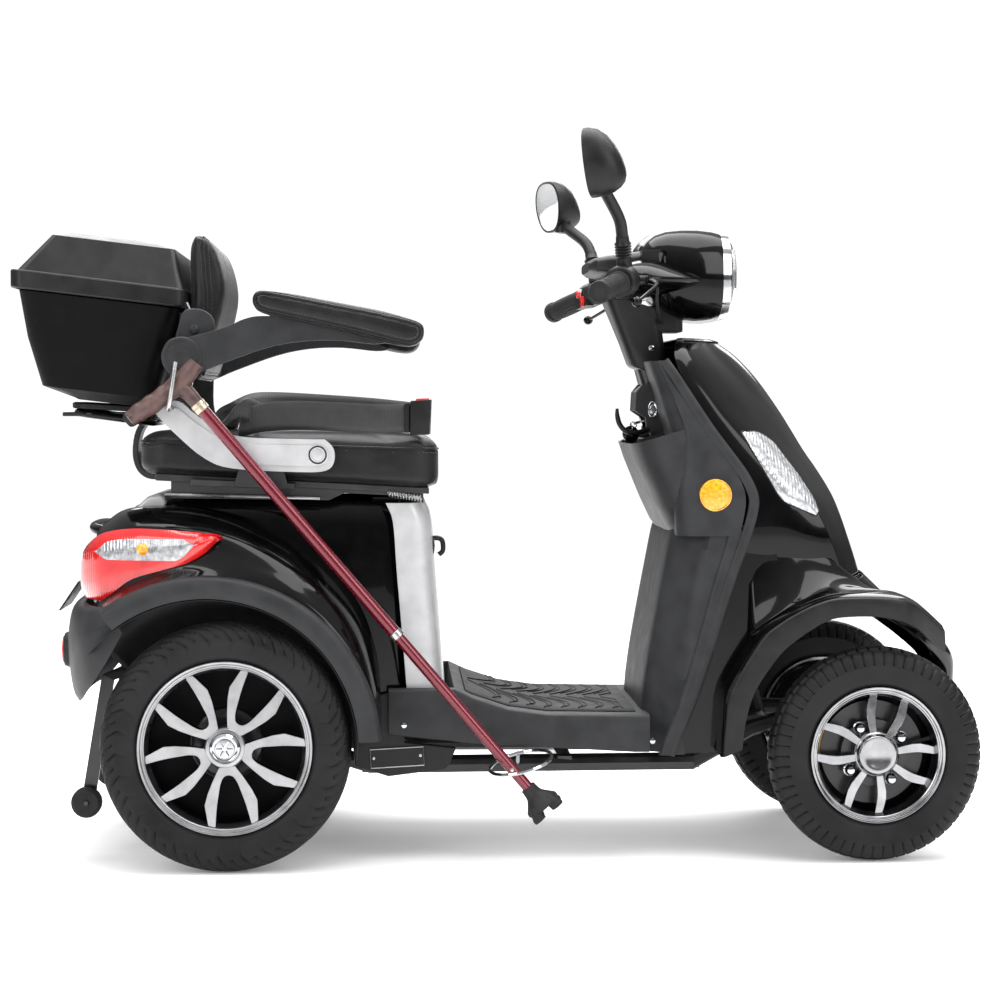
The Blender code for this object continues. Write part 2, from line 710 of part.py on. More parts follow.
FENDER_PATH = [(0.808, 0.176, 0.840, 0.190, 0.290), (0.820, 0.288, 0.862, 0.288, 0.290),
               (0.869, 0.370, 0.900, 0.344, 0.290), (0.935, 0.419, 0.953, 0.387, 0.290),
               (1.000, 0.440, 1.005, 0.408, 0.290), (1.060, 0.441, 1.060, 0.409, 0.290),
               (1.110, 0.433, 1.114, 0.402, 0.286), (1.155, 0.412, 1.162, 0.388, 0.248),
               (1.190, 0.386, 1.198, 0.366, 0.222)]


def build_fender(side):
    """Mudguard with a turned-down lip; its front end sweeps in towards the nose."""
    rows = []
    for top_x, top_z, lip_x, lip_z, reach in FENDER_PATH:
        rows.append([(top_x, side * 0.2065, top_z), (top_x, side * (reach - 0.016), top_z),
                     ((top_x * 4 + lip_x) / 5, side * (reach - 0.004), (top_z * 4 + lip_z) / 5),
                     ((top_x + lip_x) / 2, side * reach, (top_z + lip_z) / 2),
                     (lip_x, side * reach, lip_z)])
    panel(side_name("front_fender", side), rows, "gloss_black")


def build_nose():
    """Apron that falls from the cowl between the fenders and turns down between the wheels."""
    profile = [(1.0835, 0.4605, 0.196), (1.134, 0.414, 0.190), (1.190, 0.374, 0.178),
               (1.228, 0.342, 0.130), (1.243, 0.315, 0.104), (1.244, 0.262, 0.094)]
    rows = []
    for x, z, half in profile:
        back = 0.016 if z > 0.32 else 0.012
        rows.append(across([(x - 2.2 * back, -half, z - 0.012), (x - back, -half * 0.86, z - 0.002),
                            (x - 0.25 * back, -half * 0.5, z), (x, 0.0, z + 0.001)]))
    panel("front_nose", rows, "gloss_black")


# ---- seat and what rides on it -------------------------------------------------------------------
def seat_underside(x):
    return blend([(-0.154, 0.645), (0.354, 0.617)], x)[0]


def seat_topside(x):
    return blend([(-0.154, 0.709), (0.354, 0.701)], x)[0]


def seat_frame_tools():
    """Welded parts of the seat frame: lugs, slide rails, arm supports, back post and rack."""
    tools = []
    for side in (-1, 1):
        lug = tuple(sorted((side * 0.1535, side * 0.175)))
        tools.append(block((SEAT_HINGE.x - 0.009, SEAT_HINGE.x + 0.009), lug, (0.590, 0.614)))
        rail = tuple(sorted((side * 0.196, side * 0.206)))
        rail_outline = [(-0.095, 0.600), (0.165, 0.5965), (0.190, 0.6085), (0.290, 0.6035),
                        (0.290, 0.614), (-0.095, 0.634)]
        tools.append(prism(rail_outline, *rail))
        support = [(-0.105, 0.762), (-0.130, 0.700), (-0.118, 0.630), (-0.060, 0.622),
                   (0.120, 0.620), (0.120, 0.650), (-0.040, 0.662), (-0.072, 0.700),
                   (-0.052, 0.770), (-0.046, 0.832), (-0.071, 0.858), (-0.096, 0.832)]
        tools.append(prism(support, *sorted((side * 0.2362, side * 0.2462))))
        foot = tuple(sorted((side * 0.206, side * 0.240)))
        tools.append(block((-0.060, 0.110), foot, (0.6225, 0.6290)))
    post = [(-0.100, 0.0, 0.6330), (-0.155, 0.0, 0.6320), (-0.172, 0.0, 0.660),
            (-0.168, 0.0, 0.7120), (-0.140, 0.0, 0.7385), (-0.107, 0.0, 0.765),
            (-0.080, 0.0, 0.8000), (-0.0745, 0.0, 0.850)]
    flat = [(-0.030, -0.005), (0.030, -0.005), (0.030, 0.005), (-0.030, 0.005)]
    tools.append(sweep(post, flat, up=(1.0, 0.0, 0.4)))
    tools.append(block((-0.084, -0.0665), (-0.2400, 0.2400), (0.822, 0.842)))
    rack = [(-0.285, 0.735), (-0.150, 0.735), (-0.150, 0.742), (-0.285, 0.742)]
    tools.append(prism(rack, -0.110, 0.110))
    return tools


def build_seat():
    """Frame hinged at the front, with its cushion and lap belt."""
    gap = 0.001
    outline = [(-0.120, seat_underside(-0.120) - gap - 0.012),
               (0.330, seat_underside(0.330) - gap - 0.010), (0.330, seat_underside(0.330) - gap),
               (-0.120, seat_underside(-0.120) - gap)]
    frame = combine("seat_frame", "painted_steel", prism(outline, -0.212, 0.212),
                    seat_frame_tools())
    pin = rod((SEAT_HINGE.x, -0.2, SEAT_HINGE.z), (SEAT_HINGE.x, 0.2, SEAT_HINGE.z), 0.0056, 12)
    cut(frame, [pin])

    outline = [(-0.153, seat_underside(-0.153)), (0.353, seat_underside(0.353)),
               (0.353, seat_topside(0.353)), (-0.153, seat_topside(-0.153))]
    cushion = add_object("seat_cushion", prism(outline, -SEAT_HALF, SEAT_HALF), "black_vinyl")
    soften(cushion, 0.022, 3)

    bar = [(0.305, 0.205), (0.250, 0.150), (0.200, 0.060), (0.170, -0.060), (0.210, -0.140),
           (0.262, -0.180), (0.300, -0.205)]
    path = [(x, y, seat_topside(x) + 0.0075) for x, y in bar]
    section = [(-0.023, -0.004), (0.023, -0.004), (0.023, 0.004), (-0.023, 0.004)]
    belt = add_object("lap_belt", sweep(smooth_path(path, 3), section), "webbing")

    section = [(-0.0655, 0.800), (-0.048, 0.795), (-0.024, 0.860), (-0.002, 0.945),
               (-0.020, 1.022), (-0.052, 1.044), (-0.066, 1.030), (-0.0655, 0.945)]
    pad = add_object("backrest_cushion", prism(section, -0.195, 0.195), "black_vinyl")
    soften(pad, 0.010, 2)
    return [frame, cushion, belt, pad]


def build_box():
    """Tub and lid of the top box; the lid swings back on a hinge at its rear edge."""
    def outline(rear, front, half, z, corner=0.030):
        loop = []
        for cx, cy, start in ((front - corner, half - corner, 0.0),
                              (rear + corner, half - corner, 90.0),
                              (rear + corner, corner - half, 180.0),
                              (front - corner, corner - half, 270.0)):
            for step in range(4):
                angle = math.radians(start + 30.0 * step)
                x = cx + corner * math.cos(angle)
                loop.append((x, cy + corner * math.sin(angle), z - SLOPE * (x + 0.190)))
        return loop

    levels = [(-0.262, -0.138, 0.150, 0.7585), (-0.312, -0.122, 0.174, 0.772),
              (-0.334, -0.100, 0.188, 0.850), (-0.346, -0.076, BOX_HALF - 0.006, 0.926)]
    wall = 0.0035
    outer = loft([outline(*level) for level in levels])
    inner = [(r + wall, f - wall, h - wall, z) for r, f, h, z in levels]
    inner[0] = (*inner[0][:3], inner[0][3] + wall)
    inner[-1] = (*inner[-1][:3], inner[-1][3] + GAP)
    tub = combine("box_tub", "gloss_black", outer, [loft([outline(*level) for level in inner])],
                  "DIFFERENCE")

    shape = [(-0.356, -0.0685, BOX_HALF, 0.9275), (-0.357, -0.068, BOX_HALF + 0.002, 0.950),
             (-0.346, -0.070, BOX_HALF - 0.002, 0.958), (-0.318, -0.072, 0.190, 1.000),
             (-0.292, -0.080, 0.168, 1.024), (-0.268, -0.100, 0.130, 1.033)]
    outer = loft([outline(*level) for level in shape])
    inner = [(r + wall, f - wall, h - wall, z - wall) for r, f, h, z in shape]
    inner[0] = (*inner[0][:3], shape[0][3] - GAP)
    lid = combine("box_lid", "black_plastic", outer, [loft([outline(*level) for level in inner])],
                  "DIFFERENCE", origin=LID_HINGE)

    latch = add_object("box_latch", block((-0.0750, -0.0682), (-0.026, 0.026), (0.878, 0.9105)),
                       "black_plastic", BOX_LATCH)
    soften(latch, 0.0015, 1)
    lid_pivot = add_pivot("pivot_lid", LID_HINGE, (0.0, -1.0, 0.0))
    hang(lid_pivot, lid)
    latch_pivot = add_pivot("pivot_box_latch", BOX_LATCH, (0.0, 0.0, -1.0))
    hang(latch_pivot, latch)
    return [tub, lid_pivot, latch_pivot]


def build_armrest(side):
    """Silver cover of the arm support, and the arm with its pad, which lifts."""
    cover = [(-0.118, 0.757), (-0.112, 0.738), (-0.080, 0.705), (-0.036, 0.668), (0.010, 0.651),
             (0.118, 0.645), (0.160, 0.647), (0.174, 0.660), (0.174, 0.682), (0.160, 0.697),
             (0.146, 0.698), (0.038, 0.701), (-0.007, 0.711), (-0.050, 0.738), (-0.077, 0.760)]
    y = sorted((side * 0.2466, side * 0.2680))
    bar = soften(add_object(side_name("side_bar", side), prism(cover, *y), "silver_plastic"),
                 0.005)

    y = sorted((side * ARM_INNER, side * 0.276))
    arm_outline = [(-0.090, 0.808), (-0.071, 0.7985), (-0.050, 0.804), (-0.020, 0.816),
                   (0.060, 0.847), (0.140, 0.866), (0.220, 0.853), (0.300, 0.838),
                   (0.302, 0.846), (0.220, 0.866), (0.060, 0.896), (0.040, 0.900),
                   (0.000, 0.880), (-0.058, 0.862), (-0.090, 0.858), (-0.104, 0.832)]
    arm = add_object(side_name("armrest", side), prism(arm_outline, *y), "matt_plastic",
                     (ARM_PIVOT.x, side * 0.26, ARM_PIVOT.z))
    soften(arm, 0.004)
    y = sorted((side * 0.240, side * 0.300))
    pad_outline = [(0.040, 0.9045), (0.062, 0.901), (0.221, 0.8712), (0.304, 0.8512),
                   (0.314, 0.853), (0.325, 0.886), (0.318, 0.890), (0.042, 0.945)]
    pad = add_object(side_name("armrest_pad", side), prism(pad_outline, *y), "black_vinyl",
                     (ARM_PIVOT.x, side * 0.27, ARM_PIVOT.z))
    soften(pad, 0.007)
    pivot = add_pivot(side_name("pivot_armrest", side), (ARM_PIVOT.x, side * 0.26, ARM_PIVOT.z),
                      (0.0, -1.0, 0.0))
    hang(pivot, arm, pad)
    return [bar, pivot]


def build_seat_group():
    pieces = build_seat() + build_box()
    for side in (-1, 1):
        pieces += build_armrest(side)
    pivot = add_pivot("pivot_seat", SEAT_HINGE, (0.0, 1.0, 0.0))
    hang(pivot, *pieces)


# ---- steering ------------------------------------------------------------------------------------
def bar_points():
    """Middle line of the handlebar, from grip end to grip end."""
    route = [(0.589, -BAR_HALF, 0.932), (0.645, -0.170, 0.958), (0.668, -0.090, 0.962),
             (0.672, 0.0, 0.962), (0.668, 0.090, 0.962), (0.645, 0.170, 0.958),
             (0.589, BAR_HALF, 0.932)]
    return [Vector(route[0]), *smooth_path(route[1:-1], 4), Vector(route[-1])]


def build_steering():
    """Everything that turns with the handlebar, made straight and turned at the end."""
    pieces = []
    shaft = rod(column_point(0.232), column_point(0.960), 0.0165, 16)
    pieces.append(combine("handlebar_and_stem", "painted_steel", shaft,
                          [tube(bar_points(), 0.011, 10)]))

    def oval(x, half, low, high, steps=20):
        loop = []
        for step in range(steps):
            angle = 2.0 * math.pi * step / steps
            squared = [math.copysign(abs(v) ** 0.7, v) for v in (math.cos(angle), math.sin(angle))]
            loop.append((x, half * squared[0], (low + high) / 2.0 + (high - low) / 2.0 * squared[1]))
        return loop

    pod = loft([oval(0.696, 0.070, 0.985, 1.030), oval(0.708, 0.088, 0.955, 1.042),
                oval(0.735, 0.104, 0.912, 1.056), oval(0.790, 0.106, 0.897, 1.060),
                oval(0.832, 0.096, 0.898, 1.054)])
    dash = loft([oval(0.600, 0.060, 0.975, 1.002, 16), oval(0.630, 0.080, 0.9745, 1.010, 16),
                 oval(0.712, 0.078, 0.9745, 1.022, 16)])
    housing = combine("headlight_and_dash_housing", "gloss_black", pod, [dash])
    cut(housing, [tube(bar_points(), 0.0116, 10),
                  rod(column_point(0.85), column_point(0.9615), 0.0172)])
    pieces.append(housing)
    centre = Vector((0.8326, 0.0, 0.976))
    dome = [(0.0, 0.0), (0.073, 0.0), (0.072, 0.008), (0.060, 0.019), (0.035, 0.027), (0.0, 0.030)]
    pieces.append(add_object("headlight_lens", turned(dome, centre, (1.0, 0.0, 0.0), 24),
                             "clear_lens"))

    for side in (-1, 1):
        pieces += build_grip(side)
        pieces += build_mirror(side)
    pieces.append(build_horn_button())
    pivot = add_pivot("pivot_steering", COLUMN_POINT, COLUMN_AXIS)
    hang(pivot, *pieces)
    pivot.matrix_world = pivot.matrix_world @ Matrix.Rotation(STEER_AT_REST, 4, "Z")


def bar_end(side):
    """Outer end of the handlebar and the direction in which it runs outwards."""
    inner = Vector((0.645, side * 0.170, 0.958))
    outer = Vector((0.589, side * BAR_HALF, 0.932))
    return outer, (outer - inner).normalized()


def build_grip(side):
    """Grip (the right one is the throttle) and brake lever."""
    outer, along = bar_end(side)
    start = outer - along * 0.112
    profile = [(0.0114, 0.0), (0.020, 0.0), (0.020, 0.005), (0.0155, 0.008), (0.0165, 0.060),
               (0.0155, 0.108), (0.0185, 0.112), (0.0185, 0.121), (0.0114, 0.1135)]
    bm = turned(profile, start, along, 18)
    name = "grip_left" if side > 0 else "throttle_grip"
    grip = add_object(name, bm, "soft_rubber", start)

    hinge = outer - along * 0.150 + Vector((0.040, 0.0, 0.0))
    ball = outer - along * 0.012 + Vector((0.056, 0.0, -0.018))
    path = smooth_path([hinge, hinge + along * 0.025 + Vector((0.020, 0.0, -0.004)),
                        hinge + along * 0.080 + Vector((0.018, 0.0, -0.012)), ball], 3)
    tools = [turned([(0.0, -0.008), (0.006, -0.006), (0.008, 0.0), (0.006, 0.006), (0.0, 0.008)],
                    ball, along, 10)]
    lever = combine(side_name("brake_lever", side), "black_plastic", tube(path, 0.0045, 8), tools,
                    origin=hinge)
    hang(add_pivot(side_name("pivot_lever", side), hinge), lever)
    return [grip, bpy.data.objects[side_name("pivot_lever", side)]]


def build_horn_button():
    """Red push button on the back of the left switch housing."""
    outer, along = bar_end(1)
    centre = outer - along * 0.134 + Vector((-0.0245, 0.0, 0.0))
    button = turned([(0.0, 0.0), (0.007, 0.0), (0.007, 0.005), (0.0, 0.006)], centre,
                    (-1.0, 0.0, 0.0), 12)
    add_object("horn_button", button, "red_plastic", centre)
    return bpy.data.objects["horn_button"]


def build_key():
    """Ignition key on the rider's side of the steering head."""
    centre = column_point(0.735) + Vector((-0.0305, 0.0, -0.009))
    outwards = Vector((-math.cos(COLUMN_LEAN), 0.0, -math.sin(COLUMN_LEAN)))
    blade = turned([(0.0, 0.001), (0.009, 0.001), (0.009, 0.008), (0.0, 0.008)], centre, outwards, 14)
    middle = centre + outwards * 0.018
    bow = sweep([centre + outwards * 0.006, middle, centre + outwards * 0.036],
                [(-0.010, -0.0015), (0.010, -0.0015), (0.010, 0.0015), (-0.010, 0.0015)],
                up=(0.0, 1.0, 0.0))
    key = combine("ignition_key", "painted_steel", blade, [bow], origin=centre)
    hang(add_pivot("pivot_key", centre, outwards), key)


def build_mirror(side):
    """Stem that swivels in its foot, with the mirror head on top."""
    foot = Vector((0.648, side * 0.165, 0.9800))
    joint = Vector((0.596, side * 0.252, 1.115))
    path = [foot, foot + Vector((-0.010, side * 0.030, 0.030)),
            foot + Vector((-0.014, side * 0.046, 0.080)), joint]
    tools = [rod(foot, foot + Vector((-0.008, side * 0.024, 0.028)), 0.012, 12)]
    head_centre = Vector((0.582, side * 0.272, 1.143 if side < 0 else 1.124))
    facing = Vector((-1.0, -0.35 * side, -0.12)).normalized()
    head = []
    frame = axis_frame(facing)
    for depth, scale in ((0.010, 0.92), (0.006, 1.0), (-0.010, 0.92), (-0.024, 0.55)):
        loop = []
        for step in range(16):
            angle = 2.0 * math.pi * step / 16
            wide = math.copysign(abs(math.cos(angle)) ** 0.8, math.cos(angle))
            high = math.copysign(abs(math.sin(angle)) ** 0.8, math.sin(angle))
            loop.append(frame @ Vector((0.038 * scale * high, 0.060 * scale * wide, depth)))
        head.append([head_centre + p for p in loop])
    tools.append(loft(head))
    mirror = combine(side_name("mirror", side), "black_plastic", tube(path, 0.006, 8, (1, 0, 0)),
                     tools, origin=foot)
    pivot = add_pivot(side_name("pivot_mirror", side), foot)
    hang(pivot, mirror)
    return [pivot]


# ---- walking cane and its holder -------------------------------------------------------------------
CANE_TOP = Vector((-0.045, CANE_Y, 0.756))
CANE_LOW = Vector((0.492, CANE_Y, 0.128))


def build_cane():
    """Stowed walking cane: cranked handle, shaft and splayed rubber foot."""
    along = (CANE_LOW - CANE_TOP).normalized()
    handle_path = [(-0.150, CANE_Y, 0.726), (-0.118, CANE_Y, 0.742), (-0.080, CANE_Y, 0.772),
                   (-0.048, CANE_Y, 0.792), (-0.034, CANE_Y, 0.812)]
    shaft = rod(CANE_TOP + Vector((-0.012, 0.0, 0.014)), CANE_LOW, 0.0095, 14)
    profile = [(0.0, -0.004), (0.014, -0.004), (0.016, 0.016), (0.034, 0.030), (0.040, 0.044),
               (0.034, 0.052), (0.0, 0.052)]
    cane = combine("walking_cane", "burgundy_enamel", shaft,
                   [tube(smooth_path(handle_path, 3), 0.0125, 10, (0.0, 1.0, 0.0)),
                    turned(profile, CANE_LOW, along, 20)], origin=CANE_TOP)
    hang(add_pivot("pivot_cane", CANE_TOP, -along), cane)


def build_cane_ring():
    """Wire ring under the edge of the footboard, with the stalk that bolts it to the frame."""
    centre = Vector((0.4775, CANE_Y, 0.172))
    tilt = Vector((-0.25, -0.17, 1.0)).normalized()
    inward = (Vector((0.0, 1.0, 0.0)) + tilt * 0.163).normalized()
    radius = 0.052
    bm = bmesh.new()
    frame = axis_frame(tilt)
    rings = []
    for i in range(24):
        turn = Matrix.Rotation(2.0 * math.pi * i / 24, 4, "Z")
        rings.append([bm.verts.new(centre + frame @ turn @ Vector((radius + a, 0.0, b)))
                      for a, b in circle(0.003, 6)])
    ring_faces(bm, rings, close_path=True)
    stalk = rod(centre + inward * (radius - 0.001), (0.480, -0.1475, 0.148), 0.004, 8)
    combine("cane_ring", "chrome", bm, [stalk])


def shift_to_origin():
    """Move the finished scooter so that its origin is under the middle of its length."""
    bpy.context.view_layer.update()
    for obj in bpy.data.objects:
        if obj.parent is None:
            obj.location.x += ORIGIN_X
    bpy.context.view_layer.update()


def main():
    clear_scene()
    build_frame()
    build_power_train()
    build_front_axle()
    knuckles = {side: build_knuckle(side) for side in (-1, 1)}
    build_wheels(knuckles)
    build_rear_body()
    build_rear_trim()
    build_deck()
    build_leg_shield()
    build_storage_bin()
    build_cowl()
    build_nose()
    for side in (-1, 1):
        build_anti_tip(side)
        build_rear_wings(side)
        build_tail(side)
        build_fender(side)
    build_seat_group()
    build_steering()
    build_key()
    build_cane()
    build_cane_ring()
    turn = STEER_AT_REST * WHEEL_PER_BAR
    for side, pivot in knuckles.items():
        pivot.matrix_world = pivot.matrix_world @ Matrix.Rotation(turn, 4, "Z")
    shift_to_origin()


main()
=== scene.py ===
"""Looks of the mobility scooter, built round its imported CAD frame.

Lengths are metres.  Pieces are laid out with x measured forward from the rear axle, as the CAD
source does, and `piece` moves them to the frame's own origin.
"""

import json
import math

import bmesh
import bpy
import numpy as np
from mathutils import Matrix, Vector
from mathutils.bvhtree import BVHTree


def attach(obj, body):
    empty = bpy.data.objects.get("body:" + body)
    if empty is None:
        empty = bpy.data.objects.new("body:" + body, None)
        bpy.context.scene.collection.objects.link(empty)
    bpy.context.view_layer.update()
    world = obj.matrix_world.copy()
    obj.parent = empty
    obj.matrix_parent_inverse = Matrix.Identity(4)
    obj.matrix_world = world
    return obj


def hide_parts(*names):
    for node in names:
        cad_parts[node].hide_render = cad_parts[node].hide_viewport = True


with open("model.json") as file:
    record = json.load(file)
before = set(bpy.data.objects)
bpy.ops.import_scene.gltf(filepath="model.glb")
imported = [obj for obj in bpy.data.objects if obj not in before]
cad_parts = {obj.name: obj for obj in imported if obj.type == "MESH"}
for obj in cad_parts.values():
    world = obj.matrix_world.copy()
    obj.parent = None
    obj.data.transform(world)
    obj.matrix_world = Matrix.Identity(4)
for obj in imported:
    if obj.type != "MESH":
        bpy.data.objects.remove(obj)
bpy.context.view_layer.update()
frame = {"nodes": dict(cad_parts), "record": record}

AXLE_X = -0.44425               # rear axle in the frame
WHEELBASE = 1.064
REAR_Y, FRONT_Y = 0.303, 0.248
REAR_R, FRONT_R = 0.203, 0.178
REAR_RIM, FRONT_RIM = 0.141, 0.113
COLUMN_LEAN = math.radians(17.0)
COLUMN_POINT = Vector((0.710, 0.0, 0.820))
COLUMN_AXIS = Vector((-math.sin(COLUMN_LEAN), 0.0, math.cos(COLUMN_LEAN)))
BAR_ANGLE = math.radians(3.5)
SIDES = ((-1, "right"), (1, "left"))


def about(point, axis, angle):
    """Turn about an axis through a point."""
    point = Vector(point)
    return (Matrix.Translation(point) @ Matrix.Rotation(angle, 4, Vector(axis))
            @ Matrix.Translation(-point))


BAR_TURN = about(COLUMN_POINT, COLUMN_AXIS, BAR_ANGLE)
WHEEL_TURN = {s: about((WHEELBASE, s * 0.185, FRONT_R), (0, 0, 1), BAR_ANGLE * 0.6)
              for s in (-1, 1)}


def show(obj):
    """Put an object in the scene."""
    bpy.context.scene.collection.objects.link(obj)
    return obj


# ---- materials ---------------------------------------------------------------------------------
def add_node(tree, kind, **inputs):
    """New shader node with some of its inputs set."""
    made = tree.nodes.new("ShaderNode" + kind)
    for name, value in inputs.items():
        made.inputs[name.replace("_", " ")].default_value = value
    return made


def blend(tree, *stops):
    """Colour ramp between two stops, each (position, colour)."""
    ramp = add_node(tree, "ValToRGB")
    for element, (position, colour) in zip(ramp.color_ramp.elements, stops):
        element.position = position
        element.color = (*colour, 1.0)
    return ramp


def material(name, dark, light, rough, metal=0.0, coat=0.0, coat_rough=0.03, mottle=30.0,
             grain=None, cells=900.0, depth=0.0003, sheen=0.0, stretch=(1, 1, 1), **sockets):
    """Principled surface with mottled colour and roughness and a fine grain bump."""
    made = bpy.data.materials.new(name)
    made.use_nodes = True
    tree = made.node_tree
    shader = tree.nodes["Principled BSDF"]
    shader.inputs["Metallic"].default_value = metal
    shader.inputs["Coat Weight"].default_value = coat
    shader.inputs["Coat Roughness"].default_value = coat_rough
    shader.inputs["Sheen Weight"].default_value = sheen
    for socket, value in sockets.items():
        shader.inputs[socket.replace("_", " ")].default_value = value
    coords = add_node(tree, "TexCoord")
    noise = add_node(tree, "TexNoise", Scale=mottle, Detail=5.0)
    tree.links.new(coords.outputs["Object"], noise.inputs["Vector"])
    ramp = blend(tree, (0.35, dark), (0.65, light))
    tree.links.new(noise.outputs["Fac"], ramp.inputs["Fac"])
    tree.links.new(ramp.outputs["Color"], shader.inputs["Base Color"])
    span = add_node(tree, "MapRange", From_Min=0.3, From_Max=0.7, To_Min=rough[0],
                    To_Max=rough[1])
    tree.links.new(noise.outputs["Fac"], span.inputs["Value"])
    tree.links.new(span.outputs["Result"], shader.inputs["Roughness"])
    if grain:
        mapping = add_node(tree, "Mapping", Scale=stretch)
        tree.links.new(coords.outputs["Object"], mapping.inputs["Vector"])
        if grain == "wave":
            cell = add_node(tree, "TexWave", Distortion=0.6)
            out = "Fac"
        elif grain == "noise":
            cell = add_node(tree, "TexNoise")
            out = "Fac"
        else:
            cell = add_node(tree, "TexVoronoi")
            cell.feature = "SMOOTH_F1" if grain == "pebble" else "F1"
            out = "Distance"
        cell.inputs["Scale"].default_value = cells
        tree.links.new(mapping.outputs["Vector"], cell.inputs["Vector"])
        bump = add_node(tree, "Bump", Strength=0.6, Distance=depth)
        tree.links.new(cell.outputs[out], bump.inputs["Height"])
        tree.links.new(bump.outputs["Normal"], shader.inputs["Normal"])
    return made


M = {
    "gloss": material("gloss_black_paint", (0.0012, 0.0012, 0.0014), (0.0026, 0.0026, 0.003),
                      (0.10, 0.16), coat=0.28, grain="noise", cells=260.0, depth=0.00003,
                      Specular_IOR_Level=0.12),
    "tub": material("dull_black_plastic", (0.0012, 0.0012, 0.0013), (0.0028, 0.0028, 0.003),
                    (0.42, 0.55), grain="pebble", cells=1300.0, depth=0.00008,
                    Specular_IOR_Level=0.10),
    "brass": material("pale_brass", (0.50, 0.43, 0.32), (0.66, 0.58, 0.46), (0.24, 0.36),
                      metal=0.8, grain="noise", cells=300.0, depth=0.0001),
    "grey": material("matt_grey_plastic", (0.015, 0.0154, 0.0165), (0.023, 0.0235, 0.0255),
                     (0.44, 0.56), grain="pebble", cells=1300.0, depth=0.0002, Specular_IOR_Level=0.30),
    "satin": material("satin_black_plastic", (0.005, 0.005, 0.0055), (0.010, 0.010, 0.011),
                      (0.34, 0.46), grain="pebble", cells=1500.0, depth=0.00015,
                      Specular_IOR_Level=0.30),
    "lid": material("satin_lid_plastic", (0.0065, 0.0065, 0.0065), (0.010, 0.010, 0.0103),
                    (0.30, 0.38), grain="pebble", cells=1500.0, depth=0.0001, Specular_IOR_Level=0.30),
    "vinyl": material("black_vinyl", (0.0035, 0.0035, 0.004), (0.0075, 0.0075, 0.008),
                      (0.36, 0.48), grain="pebble", cells=620.0, depth=0.0005, sheen=0.05,
                      Specular_IOR_Level=0.30),
    "thread": material("stitch_thread", (0.035, 0.035, 0.037), (0.06, 0.06, 0.062), (0.6, 0.8),
                       grain="wave", cells=900.0, depth=0.0002),
    "web": material("belt_webbing", (0.007, 0.007, 0.008), (0.016, 0.016, 0.017), (0.40, 0.55),
                    grain="wave", cells=330.0, depth=0.0004, sheen=0.3, stretch=(0.4, 0.4, 1.6)),
    "tyre": material("tyre_rubber", (0.0055, 0.0055, 0.006), (0.012, 0.012, 0.0127), (0.46, 0.62),
                     mottle=14.0, grain="noise", cells=420.0, depth=0.0003, Specular_IOR_Level=0.22),
    "rubber": material("soft_rubber", (0.012, 0.012, 0.0125), (0.022, 0.022, 0.023), (0.5, 0.65),
                       grain="pebble", cells=800.0, depth=0.0003, Specular_IOR_Level=0.22),
    "machined": material("machined_alloy", (0.33, 0.33, 0.34), (0.45, 0.45, 0.46), (0.26, 0.36),
                         metal=1.0, grain="noise", cells=90.0, depth=0.0001,
                         stretch=(1.0, 9.0, 1.0)),
    "polished": material("polished_alloy", (0.27, 0.27, 0.28), (0.40, 0.40, 0.41), (0.12, 0.22),
                         metal=1.0, grain="noise", cells=60.0, depth=0.0001),
    "chrome": material("bright_chrome", (0.46, 0.47, 0.49), (0.56, 0.57, 0.58), (0.05, 0.10),
                       metal=1.0),
    "silver": material("silver_paint", (0.44, 0.44, 0.45), (0.51, 0.51, 0.52), (0.34, 0.42),
                       metal=0.35, coat=0.35, coat_rough=0.12, grain="pebble", cells=2600.0,
                       depth=0.00008),
    "steel": material("frame_paint", (0.009, 0.009, 0.010), (0.018, 0.018, 0.019), (0.28, 0.42),
                      coat=0.2, grain="noise", cells=300.0, depth=0.0002),
    "zinc": material("zinc_plate", (0.45, 0.45, 0.45), (0.62, 0.62, 0.61), (0.25, 0.4), metal=1.0,
                     grain="noise", cells=500.0, depth=0.0001),
    "gold": material("caliper_bronze", (0.40, 0.27, 0.08), (0.55, 0.40, 0.14), (0.3, 0.45),
                     metal=0.9, grain="noise", cells=400.0, depth=0.0002),
    "red": material("red_lens", (0.52, 0.004, 0.006), (0.70, 0.012, 0.012), (0.06, 0.10),
                    coat=1.0, grain="wave", cells=70.0, depth=0.0006, stretch=(1, 1, 0.3)),
    "clear": material("clear_ribbed_lens", (0.30, 0.31, 0.33), (0.66, 0.67, 0.68), (0.06, 0.18),
                      metal=0.5, coat=1.0, mottle=120.0, grain="wave", cells=55.0,
                      depth=0.0012, stretch=(1, 1, 0.25)),
    "amber": material("amber_reflector", (0.75, 0.24, 0.004), (0.95, 0.42, 0.01), (0.10, 0.16),
                      coat=1.0, mottle=160.0, grain="voronoi", cells=330.0, depth=0.0008),
    "glass": material("headlight_glass", (0.90, 0.92, 0.93), (0.97, 0.98, 0.98), (0.02, 0.05),
                      coat=0.5, Transmission_Weight=0.92, IOR=1.45),
    "mirror": material("mirror_glass", (0.80, 0.81, 0.82), (0.86, 0.87, 0.88), (0.02, 0.05),
                       metal=0.45, coat=0.5),
    "button": material("red_switch", (0.62, 0.012, 0.010), (0.74, 0.022, 0.016), (0.25, 0.35),
                       coat=0.4),
    "white": material("white_switch", (0.70, 0.70, 0.70), (0.82, 0.82, 0.82), (0.25, 0.35)),
    "enamel": material("burgundy_enamel", (0.12, 0.003, 0.012), (0.17, 0.005, 0.018),
                       (0.22, 0.30), metal=0.45, coat=0.8, coat_rough=0.05, mottle=300.0),
    "wood": material("brown_handle", (0.052, 0.026, 0.024), (0.10, 0.052, 0.046), (0.32, 0.5),
                     mottle=60.0, grain="noise", cells=240.0, depth=0.0003,
                     stretch=(1.0, 3.0, 3.0)),
}


